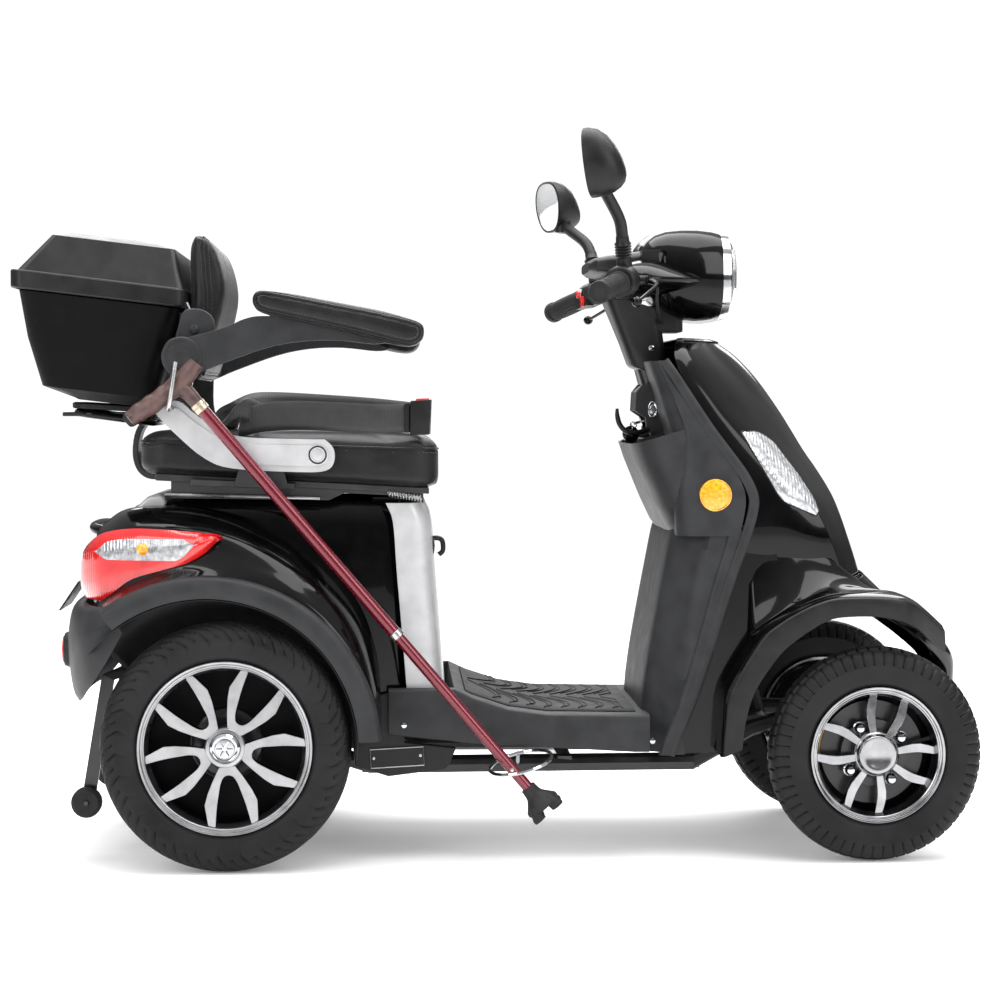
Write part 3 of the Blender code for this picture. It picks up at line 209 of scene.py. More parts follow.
# ---- mesh helpers ------------------------------------------------------------------------------
def piece(name, bm, mats, body, nodes=(), turn=None, sharp=38.0, bevel=0.0,
          segments=2, wall=0.0):
    """Put a bmesh in the scene as a finished piece that rides on a body."""
    bmesh.ops.recalc_face_normals(bm, faces=bm.faces[:])
    mesh = bpy.data.meshes.new(name)
    bm.to_mesh(mesh)
    bm.free()
    if turn is not None:
        mesh.transform(turn)
    mesh.transform(Matrix.Translation((AXLE_X, 0.0, 0.0)))
    for key in ([mats] if isinstance(mats, str) else mats):
        mesh.materials.append(M[key])
    mesh.shade_smooth()
    mesh.set_sharp_from_angle(angle=math.radians(sharp))
    obj = show(bpy.data.objects.new(name, mesh))
    if wall:
        shell = obj.modifiers.new("wall", "SOLIDIFY")
        shell.thickness = wall
        shell.offset = 0.0
    if bevel:
        edge = obj.modifiers.new("edges", "BEVEL")
        edge.width = bevel
        edge.segments = segments
        edge.limit_method = "ANGLE"
        edge.angle_limit = math.radians(35.0)
        edge.harden_normals = True
    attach(obj, body)
    if nodes:
        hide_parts(*([nodes] if isinstance(nodes, str) else nodes))
    return obj


def spline(points, per=6, corners=(), closed=False):
    """Catmull-Rom curve through the points, with the tangent broken at the corners."""
    points = [Vector(p) for p in points]
    if closed:
        ring = [points[-1], *points, points[0], points[1]]
        spans = list(zip(ring, ring[1:], ring[2:], ring[3:]))
    else:
        stops = sorted({0, len(points) - 1, *corners})
        spans = []
        for start, end in zip(stops, stops[1:]):
            run = points[start:end + 1]
            padded = [run[0] * 2 - run[1], *run, run[-1] * 2 - run[-2]]
            spans += list(zip(padded, padded[1:], padded[2:], padded[3:]))
    curve = []
    for a, b, c, d in spans:
        for step in range(per):
            t = step / per
            curve.append(0.5 * (b * 2 + (c - a) * t + (a * 2 - b * 5 + c * 4 - d) * t * t
                                + (b * 3 - a - c * 3 + d) * t ** 3))
    if not closed:
        curve.append(points[-1])
    return curve


def quads(bm, rings, close_rows=False, close_cols=True):
    """Four-sided faces between rows of vertices."""
    count = len(rings[0])
    for i in range(len(rings) if close_rows else len(rings) - 1):
        low, high = rings[i], rings[(i + 1) % len(rings)]
        for j in range(count if close_cols else count - 1):
            k = (j + 1) % count
            bm.faces.new((low[j], low[k], high[k], high[j]))


def grid(rows, close_cols=False):
    """Open surface through a table of points."""
    bm = bmesh.new()
    quads(bm, [[bm.verts.new(p) for p in row] for row in rows], close_cols=close_cols)
    return bm


def striped(rows, second):
    """Surface through a table of points, with the second material on chosen columns."""
    bm = grid(rows)
    width = len(rows[0]) - 1
    for i, face in enumerate(bm.faces):
        face.material_index = int(second(i % width))
    return bm


def dense(rows, per_row=3, per_col=3, col_corners=()):
    """Smooth a table of points along both directions; every given point stays on the surface."""
    wide = [spline(row, per_col, col_corners) for row in rows]
    tall = [spline(column, per_row) for column in zip(*wide)]
    return [list(row) for row in zip(*tall)]


def loft(loops, caps=True):
    """Skin over closed loops, with its two ends filled."""
    bm = bmesh.new()
    rings = [[bm.verts.new(p) for p in loop] for loop in loops]
    quads(bm, rings)
    if caps:
        bm.faces.new(rings[0])
        bm.faces.new(rings[-1])
    return bm


def prism(outline, low, high):
    """Side-view outline, solid between two stations across the vehicle."""
    return loft([[(x, y, z) for x, z in outline] for y in (low, high)])


def slab(outline, side, *faces):
    """Side-view outline, solid between two distances from the middle, on one side."""
    return prism(outline, *sorted(side * face for face in faces))


def both(half):
    """A half row, from its outer end to the middle, and its mirror image."""
    return half + [(x, -y, z) for x, y, z in reversed(half[:-1])]


def heading(path, i):
    """Direction in which a path runs at one of its points."""
    return (path[min(i + 1, len(path) - 1)] - path[max(i - 1, 0)]).normalized()


def flat(points, per=6, closed=True, corners=()):
    """Smooth 2D outline."""
    return [(p[0], p[1]) for p in spline([(a, b, 0) for a, b in points], per, corners, closed)]


def axis_frame(axis):
    """Turn that takes +Z to an axis."""
    return Vector(axis).to_track_quat("Z", "Y").to_matrix().to_4x4()


def revolve(profile, centre, axis, steps=64):
    """Surface of revolution; profile is (radius, distance along the axis)."""
    bm = bmesh.new()
    place = Matrix.Translation(centre) @ axis_frame(axis)
    rings = []
    for step in range(steps):
        turn = place @ Matrix.Rotation(2.0 * math.pi * step / steps, 4, "Z")
        rings.append([bm.verts.new(turn @ Vector((max(r, 1e-5), 0.0, d))) for r, d in profile])
    quads(bm, rings, close_rows=True, close_cols=False)
    bmesh.ops.remove_doubles(bm, verts=bm.verts[:], dist=2e-5)
    return bm


def washer(inner, outer, low, high, centre, axis):
    """Flat ring between two radii and two distances along the axis."""
    return revolve([(inner, low), (outer, low), (outer, high), (inner, high), (inner, low)],
                   centre, axis)


def tube(path, radius, steps=14, closed=False, squash=1.0):
    """Round bar along a path; radius is a number or one for each point."""
    path = [Vector(p) for p in path]
    count = len(path)
    radii = radius if hasattr(radius, "__len__") else [radius] * count
    bm = bmesh.new()
    rings = []
    side = None
    for i, point in enumerate(path):
        ahead = (path[(i + 1) % count] - path[i - 1]).normalized() if closed else heading(path, i)
        if side is None:
            side = ahead.orthogonal().normalized()
        side = (side - ahead * side.dot(ahead)).normalized()
        up = ahead.cross(side)
        ring = []
        for step in range(steps):
            angle = 2.0 * math.pi * step / steps
            out = side * math.cos(angle) + up * math.sin(angle) * squash
            ring.append(bm.verts.new(point + out * radii[i]))
        rings.append(ring)
    quads(bm, rings, close_rows=closed)
    if not closed:
        bm.faces.new(rings[0])
        bm.faces.new(rings[-1])
    return bm


def merge(*parts):
    """Several bmeshes as one, each with its material number."""
    whole = bmesh.new()
    for part in parts:
        bm, number = part if isinstance(part, tuple) else (part, 0)
        mesh = bpy.data.meshes.new("part")
        for face in bm.faces:
            face.material_index = number
        bmesh.ops.recalc_face_normals(bm, faces=bm.faces[:])
        bm.to_mesh(mesh)
        bm.free()
        whole.from_mesh(mesh)
        bpy.data.meshes.remove(mesh)
    return whole


def read(table, value):
    """Piecewise linear reading of rows of (value, results...)."""
    columns = list(zip(*table))
    return [float(np.interp(value, columns[0], column)) for column in columns[1:]]


def bolt(centre, axis, radius, height=0.004):
    """Domed bolt head."""
    return revolve([(radius, -0.002), (radius, height * 0.4), (radius * 0.8, height * 0.85),
                    (radius * 0.4, height), (0.0, height)], centre, axis, 20)


# ---- camera, floor and light -------------------------------------------------------------------
LENS, SENSOR = 87.84, 36.0      # millimetres
CAMERA_PLACE = (-0.17853, -4.24266, 0.75405)
CAMERA_DOWN, CAMERA_RIGHT = math.radians(2.230), math.radians(2.579)


def build_camera():
    camera = show(bpy.data.objects.new("camera", bpy.data.cameras.new("camera")))
    camera.data.lens = LENS
    camera.data.sensor_width = SENSOR
    camera.location = CAMERA_PLACE
    camera.rotation_euler = (math.radians(90.0) - CAMERA_DOWN, 0.0, -CAMERA_RIGHT)
    bpy.context.scene.camera = camera


def build_floor():
    bm = bmesh.new()
    bmesh.ops.create_grid(bm, x_segments=4, y_segments=4, size=40.0)
    mesh = bpy.data.meshes.new("floor")
    bm.to_mesh(mesh)
    bm.free()
    floor = show(bpy.data.objects.new("floor", mesh))
    mesh.materials.append(material("pale_floor", (0.86, 0.86, 0.86), (0.90, 0.90, 0.90),
                                   (0.7, 0.8), mottle=0.5, Specular_IOR_Level=0.1,
                                   Emission_Color=(1.0, 1.0, 1.0, 1.0), Emission_Strength=0.12))


def build_world():
    """Dark towards the ground and white above in reflections; plain white for all other rays."""
    world = bpy.data.worlds.new("studio")
    bpy.context.scene.world = world
    world.use_nodes = True
    tree = world.node_tree
    back = tree.nodes["Background"]
    coords = add_node(tree, "TexCoord")
    split = add_node(tree, "SeparateXYZ")
    ramp = blend(tree, (0.0, (0.035, 0.035, 0.036)), (0.95, (1.0, 1.0, 1.0)))
    tree.links.new(coords.outputs["Generated"], split.inputs["Vector"])
    tree.links.new(split.outputs["Z"], ramp.inputs["Fac"])
    path = add_node(tree, "LightPath")
    white = add_node(tree, "Background", Color=(1.0, 1.0, 1.0, 1.0), Strength=1.08)
    mix = add_node(tree, "MixShader")
    tree.links.new(ramp.outputs["Color"], back.inputs["Color"])
    back.inputs["Strength"].default_value = 1.0
    tree.links.new(path.outputs["Is Glossy Ray"], mix.inputs["Fac"])
    tree.links.new(white.outputs["Background"], mix.inputs[1])
    tree.links.new(back.outputs["Background"], mix.inputs[2])
    tree.links.new(mix.outputs["Shader"], tree.nodes["World Output"].inputs["Surface"])


def softbox(name, place, aim, size, power):
    """Rectangular lamp that points at a spot."""
    light = bpy.data.lights.new(name, "AREA")
    light.shape = "RECTANGLE"
    light.size, light.size_y = size
    light.energy = power
    lamp = show(bpy.data.objects.new(name, light))
    lamp.location = place
    lamp.rotation_euler = (Vector(aim) - Vector(place)).to_track_quat("-Z", "Y").to_euler()


def build_lights():
    softbox("overhead", (0.1, 0.2, 3.4), (0.0, 0.0, 0.3), (4.5, 3.0), 210.0)
    softbox("front_left", (-2.8, -3.4, 2.2), (-0.1, 0.0, 0.5), (1.8, 2.4), 60.0)
    softbox("front_right", (2.9, -3.2, 2.4), (0.2, 0.0, 0.6), (1.6, 2.4), 55.0)
    softbox("behind", (0.3, 3.4, 2.4), (0.0, 0.0, 0.5), (3.6, 1.6), 60.0)
    bpy.context.scene.view_settings.view_transform = "Standard"


# ---- wheels ------------------------------------------------------------------------------------
def tyre_curve(radius, bead):
    """Outside of the tyre from bead to bead: (radius, distance outwards) points."""
    middle = (bead + radius) / 2.0
    half = [(bead + 0.0005, 0.0270), (bead + 0.004, 0.0305), (bead + 0.010, 0.0335),
            (middle, 0.0372), (radius - 0.024, 0.0362), (radius - 0.0125, 0.0315),
            (radius - 0.0050, 0.0230), (radius - 0.0012, 0.0110), (radius, 0.0)]
    side = flat(half, 4, closed=False)
    return [(r, -d) for r, d in side] + [(r, d) for r, d in reversed(side[:-1])]


def groove(distance, width):
    """1 in a groove's bottom, 0 outside it."""
    return np.clip((width - np.abs(distance)) / (0.35 * width), 0.0, 1.0)


def to_line(value):
    """Distance to the nearest whole number."""
    return value - np.round(value)


def rear_tread(turns, sideways, low):
    """Curved sipes that run back from the crown and over the shoulder."""
    count = 30
    pitch = 2.0 * math.pi * REAR_R / count
    far = np.abs(sideways)
    phase = turns * count + np.sign(sideways) * 0.25 + 1.5 * (far / 0.036) ** 1.3
    long = groove(to_line(phase) * pitch, 0.0030) * (far > 0.006) * (low < 0.044)
    short = groove(to_line(phase + 0.5) * pitch, 0.0022) * (far > 0.016) * (low < 0.022)
    crown = groove(far - 0.0085 - 0.002 * np.sin(turns * count * 2.0 * math.pi), 0.0018)
    ridge = groove(low - 0.046, 0.0015)
    return 0.0032 * np.maximum(long * np.clip((0.046 - low) / 0.018, 0.25, 1.0),
                               np.maximum(short, crown)) - 0.0007 * ridge


def front_tread(turns, sideways, low):
    """Block tread: square shoulder blocks and two staggered rows of crown blocks."""
    count = 58
    pitch = 2.0 * math.pi * FRONT_R / count
    far = np.abs(sideways)
    shoulder = groove(to_line(turns * count) * pitch, 0.0026) * (far > 0.021) * (low < 0.028)
    crown = groove(to_line(turns * count + 0.5 + 0.25 * np.sign(sideways)) * pitch, 0.0020)
    crown = crown * (far < 0.0215)
    around = np.maximum(groove(far - 0.0215, 0.0021) * (low < 0.02), groove(sideways, 0.0018))
    edge = groove(low - 0.0295, 0.0016)
    return 0.0034 * np.maximum(np.maximum(shoulder, crown), around) - 0.0006 * edge


def build_tyre(end, side, label, centre, radius, bead, tread, steps, turn=None):
    """Tyre with its tread cut in; end is front or rear."""
    curve = np.array(tyre_curve(radius, bead))
    turns = np.arange(steps) / steps
    grid_turns, grid_r = np.meshgrid(turns, curve[:, 0], indexing="ij")
    grid_d = np.meshgrid(turns, curve[:, 1], indexing="ij")[1]
    deep = tread(grid_turns, grid_d, radius - grid_r)
    slope = np.clip((radius - grid_r) / 0.024, 0.0, 1.0)
    r = grid_r - deep * (1.0 - 0.6 * slope)
    d = grid_d - np.sign(grid_d) * deep * 0.8 * slope
    bm = bmesh.new()

    def ring(i, points):
        angle = 2.0 * math.pi * i / steps
        return [bm.verts.new((centre[0] + far * math.cos(angle), centre[1] + side * out,
                              centre[2] + far * math.sin(angle))) for far, out in points]

    rings = [ring(i, zip(r[i], d[i])) for i in range(steps)]
    inner = [ring(i, ((bead - 0.002, 0.024), (bead - 0.002, -0.024))) for i in range(steps)]
    quads(bm, [crown + bore for crown, bore in zip(rings, inner)], close_rows=True)
    piece(f"{end}_tyre_cover_{label}", bm, "tyre", f"{end}_wheel_{label}",
          f"{end}_tyre_{label}", turn, sharp=34.0)


def around_wheel(side, degrees):
    """Direction from a wheel's centre, mirrored with the side."""
    angle = math.radians(degrees)
    angle = angle if side < 0 else math.pi - angle
    return Vector((math.cos(angle), 0.0, math.sin(angle)))


def rim_ring(centre, side, radius):
    """Barrel with its stepped outer lip."""
    axis = (0.0, side, 0.0)
    lip = [(radius - 0.017, 0.010), (radius - 0.013, 0.022), (radius - 0.0115, 0.0285),
           (radius - 0.0095, 0.0300), (radius - 0.0085, 0.0288), (radius - 0.0060, 0.0292),
           (radius - 0.0045, 0.0330), (radius - 0.0010, 0.0335), (radius, 0.0315),
           (radius, 0.0260)]
    barrel = [(radius - 0.017, 0.010), (radius - 0.018, -0.020), (radius - 0.010, -0.030),
              (radius - 0.001, -0.032), (radius - 0.001, -0.029), (radius - 0.012, -0.018),
              (radius - 0.013, 0.006), (radius, 0.020), (radius, 0.0260)]
    return revolve(lip, centre, axis, 96), revolve(barrel, centre, axis, 96)


def plate_on_wheel(centre, side, outline, radial, back, front, bow=0.0):
    """Plate between two depths of a wheel: outline is (outwards, across) points."""
    sideways = Vector((-radial.z, 0.0, radial.x))
    loops = []
    for depth in (back, front):
        loop = []
        for u, v in outline:
            y = depth - bow * (math.hypot(u, v) / 0.1) ** 2
            loop.append(Vector(centre) + radial * u + sideways * v + Vector((0.0, side * y, 0.0)))
        loops.append(loop)
    return loft(loops)


def pair_outline(inner, outer):
    """Forked outline of two spokes from the edges of one."""
    inner = flat(inner, 4, closed=False)
    return ([(u, v) for u, v in reversed(outer)] + [(u, -v) for u, v in outer]
            + [(u, -v) for u, v in reversed(inner[1:])] + inner)


def dust_shield(inner, outer, face, centre, side):
    """Pressed plate behind a wheel, with a raised rim."""
    return revolve([(inner, face), (outer, face), (outer + 0.001, face + 0.0015),
                    (outer + 0.001, -0.0400), (inner, -0.0400), (inner, face)],
                   centre, (0, side, 0))


def build_rear_wheel(side, label):
    centre = (0.0, side * REAR_Y, REAR_R)
    body = f"rear_wheel_{label}"
    build_tyre("rear", side, label, centre, REAR_R, REAR_RIM, rear_tread, 480)
    lip, barrel = rim_ring(centre, side, REAR_RIM)
    inner = [(0.0440, 0.0), (0.0465, 0.0070), (0.0560, 0.0130), (0.0700, 0.0172),
             (0.0965, 0.0238), (0.1270, 0.0290)]
    outer = [(0.0300, 0.0130), (0.0490, 0.0245), (0.0710, 0.0362), (0.0885, 0.0428),
             (0.1215, 0.0405)]
    outline = pair_outline(inner, outer)
    turns = [around_wheel(side, 60.0 + 72.0 * pair) for pair in range(5)]
    faces = [plate_on_wheel(centre, side, outline, turn, 0.0225, 0.0240) for turn in turns]
    backs = [(plate_on_wheel(centre, side, outline, turn, 0.0020, 0.0224), 1) for turn in turns]
    hub = revolve([(0.0335, -0.012), (0.0335, 0.0215), (0.0310, 0.0250), (0.0250, 0.0262),
                   (0.0245, 0.0250)], centre, (0, side, 0), 48)
    piece(f"rear_rim_face_{label}", merge(lip, (barrel, 1), hub, *faces, *backs),
          ("machined", "gloss"), body, f"rear_rim_{label}", bevel=0.0007, segments=1)
    cap = revolve([(0.0245, 0.0235), (0.0240, 0.0290), (0.0205, 0.0320), (0.0190, 0.0310),
                   (0.0165, 0.0310), (0.0150, 0.0335), (0.0, 0.0345)], centre, (0, side, 0), 48)
    middle = Vector(centre) + Vector((0.0, side * 0.0345, 0.0))
    tips = [around_wheel(-1, 60.0 * i) for i in range(6)]
    star = [tube([middle + tip * 0.004, middle + tip * 0.0135], [0.0022, 0.0012], 8) for tip in tips]
    piece(f"rear_centre_cap_{label}", merge(cap, *star), "chrome", body)
    drum = Vector((0.0, side * 0.2565, REAR_R))
    piece(f"parking_brake_drum_{label}",
          revolve([(0.0, 0.001), (0.030, 0.001), (0.034, 0.004), (0.056, 0.004), (0.0615, 0.0),
                   (0.0635, -0.004), (0.0635, -0.030), (0.0, -0.031)], drum, (0, side, 0), 64),
          "steel", "chassis")
    shield = dust_shield(0.060, 0.128, -0.0360, centre, side)
    piece(f"rear_dust_shield_{label}", shield, "tub", "chassis")


def build_front_wheel(side, label):
    centre = (WHEELBASE, side * FRONT_Y, FRONT_R)
    body = f"front_wheel_{label}"
    turn = WHEEL_TURN[side]
    build_tyre("front", side, label, centre, FRONT_R, FRONT_RIM, front_tread, 464, turn)
    lip, barrel = rim_ring(centre, side, FRONT_RIM)
    inner = [(0.0300, 0.0), (0.0325, 0.0062), (0.0430, 0.0105), (0.0640, 0.0172),
             (0.0800, 0.0195), (0.1010, 0.0210)]
    outer = [(0.0250, 0.0150), (0.0400, 0.0225), (0.0560, 0.0300), (0.0680, 0.0330),
             (0.0820, 0.0332), (0.0970, 0.0325)]
    outline = pair_outline(inner, outer)
    spokes = [plate_on_wheel(centre, side, outline, around_wheel(side, 77.0 + 90.0 * pair),
                             0.006, 0.0215, 0.006) for pair in range(4)]
    boss = revolve([(0.040, -0.010), (0.040, 0.014), (0.0375, 0.0200), (0.0340, 0.0225),
                    (0.0325, 0.0285), (0.0300, 0.0310), (0.0220, 0.0315), (0.0200, 0.0305),
                    (0.0, 0.0308)], centre, (0, side, 0), 56)
    piece(f"front_rim_face_{label}", merge(lip, barrel, boss, *spokes),
          "polished", body, f"front_rim_{label}", turn, bevel=0.0016, segments=2)
    nut = [(0.0105, -0.004), (0.0105, 0.008), (0.0090, 0.0090), (0.0088, 0.0140),
           (0.0060, 0.0185), (0.0, 0.0200)]
    nuts = [revolve(nut, Vector(centre) + 0.0500 * around_wheel(side, 32.0 + 90.0 * i),
                    (0, side, 0), 20) for i in range(4)]
    piece(f"wheel_nuts_{label}", merge(*nuts), "chrome", body, turn=turn)
    plate = revolve([(0.0, 0.0), (0.056, 0.0), (0.056, -0.008), (0.0, -0.008)],
                    centre, (0, side, 0), 40)
    piece(f"wheel_hub_flange_{label}", plate, "steel", body, turn=turn, bevel=0.001)
    disc = washer(0.050, 0.086, -0.0165, -0.0205, centre, (0, side, 0))
    piece(f"brake_disc_{label}", disc, "steel", body, turn=turn)
    shield = dust_shield(0.024, 0.100, -0.0370, centre, side)
    piece(f"front_dust_shield_{label}", shield, "tub", f"knuckle_{label}", turn=turn)
    inward = -around_wheel(side, 14.0)
    spot = Vector(centre) - inward * 0.0960
    valve = tube([spot, spot + inward * 0.014, spot + inward * 0.020, spot + inward * 0.030],
                 [0.0035, 0.0032, 0.0022, 0.0022], 10)
    piece(f"valve_stem_{label}", valve, "rubber", body, turn=turn)
    block = [(0.060, -0.022), (0.095, -0.024), (0.095, 0.024), (0.060, 0.022)]
    caliper = plate_on_wheel(centre, side, block, around_wheel(-1, 168.0), -0.034, -0.0215)
    piece(f"brake_caliper_{label}", caliper, "gold", f"knuckle_{label}", turn=turn, bevel=0.003)


for side, label in SIDES:
    build_rear_wheel(side, label)
    build_front_wheel(side, label)

build_camera()
build_floor()
build_world()
build_lights()


# ---- rear bodywork -----------------------------------------------------------------------------
ARCH_X, ARCH_Z = -0.030, 0.200


def rounded(rear, front, half, corner, z_of, steps=8):
    """Rounded rectangle seen from above; z_of gives the height at an x."""
    loop = []
    for cx, cy, start in ((front - corner, half - corner, 0.0), (rear + corner, half - corner, 90.0),
                          (rear + corner, corner - half, 180.0),
                          (front - corner, corner - half, 270.0)):
        for step in range(steps + 1):
            angle = math.radians(start + 90.0 * step / steps)
            x = cx + corner * math.cos(angle)
            loop.append((x, cy + corner * math.sin(angle), z_of(x)))
    return loop


BASE_LEVELS = [(0.245, -0.220, 0.312, 0.190), (0.430, -0.226, 0.304, 0.190),
               (0.500, -0.208, 0.298, 0.188), (0.550, -0.180, 0.293, 0.186),
               (0.586, -0.135, 0.290, 0.183), (0.594, -0.120, 0.284, 0.176)]


def base_ring(z):
    """The seat base from above, at a height."""
    return rounded(*read(BASE_LEVELS, z), 0.045, lambda x: 0.0)


def build_rear_body():
    lowest, highest = BASE_LEVELS[0][0], BASE_LEVELS[-1][0]
    rows = []
    for level in np.linspace(0.0, 1.0, 15):
        row = []
        for i, (x, _, _) in enumerate(base_ring(lowest)):
            low = read([(0.08, 0.430), (0.215, lowest)], x)[0]
            z = low + (highest - low) * level ** 0.8
            row.append((*base_ring(z)[i][:2], z))
        rows.append(row)
    piece("seat_base_cover", grid(rows, close_cols=True), "gloss", "chassis", "rear_body_shell",
          wall=0.003, bevel=0.001)
    rows = []
    for z, shift in ((0.248, 0.027), (0.36, 0.018), (0.48, 0.008), (0.560, 0.002), (0.592, -0.010)):
        rows.append(both([(x + shift, y, z) for x, y in
                          ((0.268, -0.201), (0.285, -0.2005), (0.310, -0.196), (0.326, -0.178),
                           (0.331, -0.140), (0.333, 0.0))]))
    piece("seat_base_front_cover", grid(dense(rows, 4, 4)), "silver", "chassis",
          "seat_base_front", wall=0.003, bevel=0.001)
    hook = [(0.333, -0.150, 0.530), (0.345, -0.150, 0.531), (0.353, -0.150, 0.526),
            (0.354, -0.150, 0.510), (0.347, -0.150, 0.503)]
    piece("bag_hook", merge(tube(spline(hook, 5), 0.0042, 10),
                            revolve([(0.0, -0.002), (0.014, -0.002), (0.014, 0.006), (0.0, 0.008)],
                                    (0.333, -0.150, 0.518), (1, 0, 0), 24)),
          "satin", "chassis")
    cap = [(-0.172, 0.553), (-0.160, 0.580), (-0.136, 0.602), (-0.112, 0.606), (-0.104, 0.596),
           (-0.108, 0.560)]
    piece("rear_top_cap", prism(cap, -0.178, 0.178), "silver", "chassis", bevel=0.006, segments=3)
    for side, label in SIDES:
        inset = [(-0.138, 0.559), (-0.137, 0.584), (-0.088, 0.590), (-0.082, 0.562)]
        piece(f"corner_block_{label}", slab(inset, side, 0.170, 0.196),
              "satin", "chassis", bevel=0.003)


WING_ROWS = [
    (-0.222, (0.120, 0.545), (0.150, 0.540), (0.178, 0.515), (0.190, 0.470), (0.196, 0.440),
     (0.200, 0.424)),
    (-0.205, (0.140, 0.560), (0.188, 0.552), (0.226, 0.520), (0.238, 0.470), (0.245, 0.436),
     (0.262, 0.424)),
    (-0.180, (0.170, 0.577), (0.212, 0.568), (0.250, 0.535), (0.262, 0.482), (0.276, 0.448),
     (0.318, 0.4350)),
    (-0.150, (0.185, 0.585), (0.225, 0.578), (0.262, 0.548), (0.274, 0.500), (0.296, 0.466),
     (0.333, 0.4525)),
    (-0.100, (0.192, 0.587), (0.232, 0.581), (0.278, 0.552), (0.288, 0.508), (0.308, 0.484),
     (0.333, 0.4715)),
    (-0.050, (0.196, 0.584), (0.240, 0.576), (0.287, 0.550), (0.297, 0.518), (0.314, 0.494),
     (0.333, 0.4795)),
    (-0.013, (0.1985, 0.578), (0.245, 0.569), (0.292, 0.546), (0.306, 0.520), (0.320, 0.496),
     (0.333, 0.4798)),
    (0.030, (0.200, 0.566), (0.250, 0.556), (0.297, 0.533), (0.315, 0.505), (0.327, 0.486),
     (0.333, 0.4740)),
    (0.080, (0.200, 0.546), (0.254, 0.534), (0.300, 0.508), (0.320, 0.482), (0.329, 0.467),
     (0.333, 0.4575)),
    (0.120, (0.200, 0.524), (0.256, 0.511), (0.302, 0.482), (0.322, 0.458), (0.330, 0.445),
     (0.333, 0.4362)),
    (0.160, (0.200, 0.493), (0.257, 0.478), (0.303, 0.447), (0.322, 0.424), (0.330, 0.413),
     (0.333, 0.4052)),
    (0.200, (0.200, 0.444), (0.257, 0.428), (0.303, 0.396), (0.322, 0.376), (0.330, 0.366),
     (0.333, 0.3588)),
    (0.226, (0.200, 0.396), (0.257, 0.378), (0.303, 0.346), (0.322, 0.328), (0.330, 0.318),
     (0.333, 0.3120)),
    (0.244, (0.200, 0.330), (0.257, 0.310), (0.303, 0.284), (0.322, 0.268), (0.330, 0.260),
     (0.333, 0.2560)),
    (0.250, (0.200, 0.262), (0.257, 0.250), (0.303, 0.236), (0.322, 0.228), (0.330, 0.224),
     (0.333, 0.2220)),
]


def build_rear_wing(side, label):
    rows = [[(x, side * y, z) for y, z in rest] for x, *rest in WING_ROWS]
    piece(f"rear_wing_cover_{label}", grid(dense(rows, 4, 4)), "gloss", "chassis",
          f"rear_wing_{label}", wall=0.0025, bevel=0.0008)

    def arch(section, low, high, steps):
        table = []
        for step in range(steps + 1):
            angle = math.radians(low + (high - low) * step / steps)
            table.append([(ARCH_X + r * math.cos(angle), side * y, ARCH_Z + r * math.sin(angle))
                          for r, y in section])
        return table

    lip = flat([(0.2450, 0.3425), (0.2520, 0.3455), (0.2620, 0.3460), (0.2740, 0.3430),
                (0.2795, 0.3340), (0.2800, 0.3180)], 4, closed=False)
    piece(f"wheel_arch_flare_{label}", grid(arch(lip, 3.0, 127.0, 56)), "grey", "chassis",
          f"rear_wheel_flare_{label}", wall=0.003, bevel=0.001)
    liner = [(0.2425, 0.340), (0.2410, 0.200), (0.1700, 0.1985)]
    piece(f"rear_wheel_liner_{label}", grid(arch(liner, -4.0, 140.0, 48)), "satin", "chassis",
          wall=0.0015)


def build_tail_light(side, label):
    path = [(-0.247, 0.110, 0.500, 0.443), (-0.240, 0.190, 0.516, 0.438),
            (-0.212, 0.246, 0.540, 0.436), (-0.185, 0.268, 0.549, 0.438),
            (-0.150, 0.284, 0.553, 0.447), (-0.110, 0.296, 0.552, 0.462),
            (-0.070, 0.304, 0.549, 0.489), (-0.036, 0.310, 0.546, 0.518),
            (-0.012, 0.313, 0.5435, 0.5405)]
    rows = []
    for x, y, top, low in spline_rows(path, 6):
        clear_top = min(0.5375, top - 0.14 * (top - low))
        clear_low = max(0.5035, low + 0.30 * (top - low))
        share = min(max((x + 0.212) / 0.02, 0.0), 1.0) * min(max((-0.044 - x) / 0.02, 0.0), 1.0)
        middle = clear_top * 0.5 + clear_low * 0.5
        clear_top = middle + (clear_top - middle) * share
        clear_low = middle + (clear_low - middle) * share
        levels = ([top + (clear_top - top) * t for t in (0.0, 0.35, 0.7)]
                  + [clear_top + (clear_low - clear_top) * t for t in (0.0, 0.33, 0.66)]
                  + [clear_low + (low - clear_low) * t for t in (0.0, 0.2, 0.4, 0.6, 0.8, 1.0)])
        row = []
        for z in levels:
            v = (top - z) / max(top - low, 1e-4)
            out = 0.010 * (1.0 - (2.0 * v - 1.0) ** 4) - 0.006
            row.append((x - 0.5 * out, side * (y + out), z))
        rows.append(row)
    lens = striped(rows, lambda column: 3 <= column < 6)
    piece(f"tail_lens_{label}", lens, ("red", "clear"), "chassis", f"tail_light_{label}",
          wall=0.005, bevel=0.0015)
    bulb = revolve([(0.0, 0.014), (0.006, 0.012), (0.010, 0.006), (0.0105, -0.004), (0.0, -0.006)],
                   (-0.132, side * 0.2925, 0.5215), (-0.35, side * 1.0, 0.1), 24)
    piece(f"tail_bulb_{label}", bulb, "amber", "chassis")


def spline_rows(rows, per):
    """Smooth rows of four numbers."""
    xyz = spline([row[:3] for row in rows], per)
    last = spline([(row[3], 0.0, 0.0) for row in rows], per)
    return [(p.x, p.y, p.z, q.x) for p, q in zip(xyz, last)]


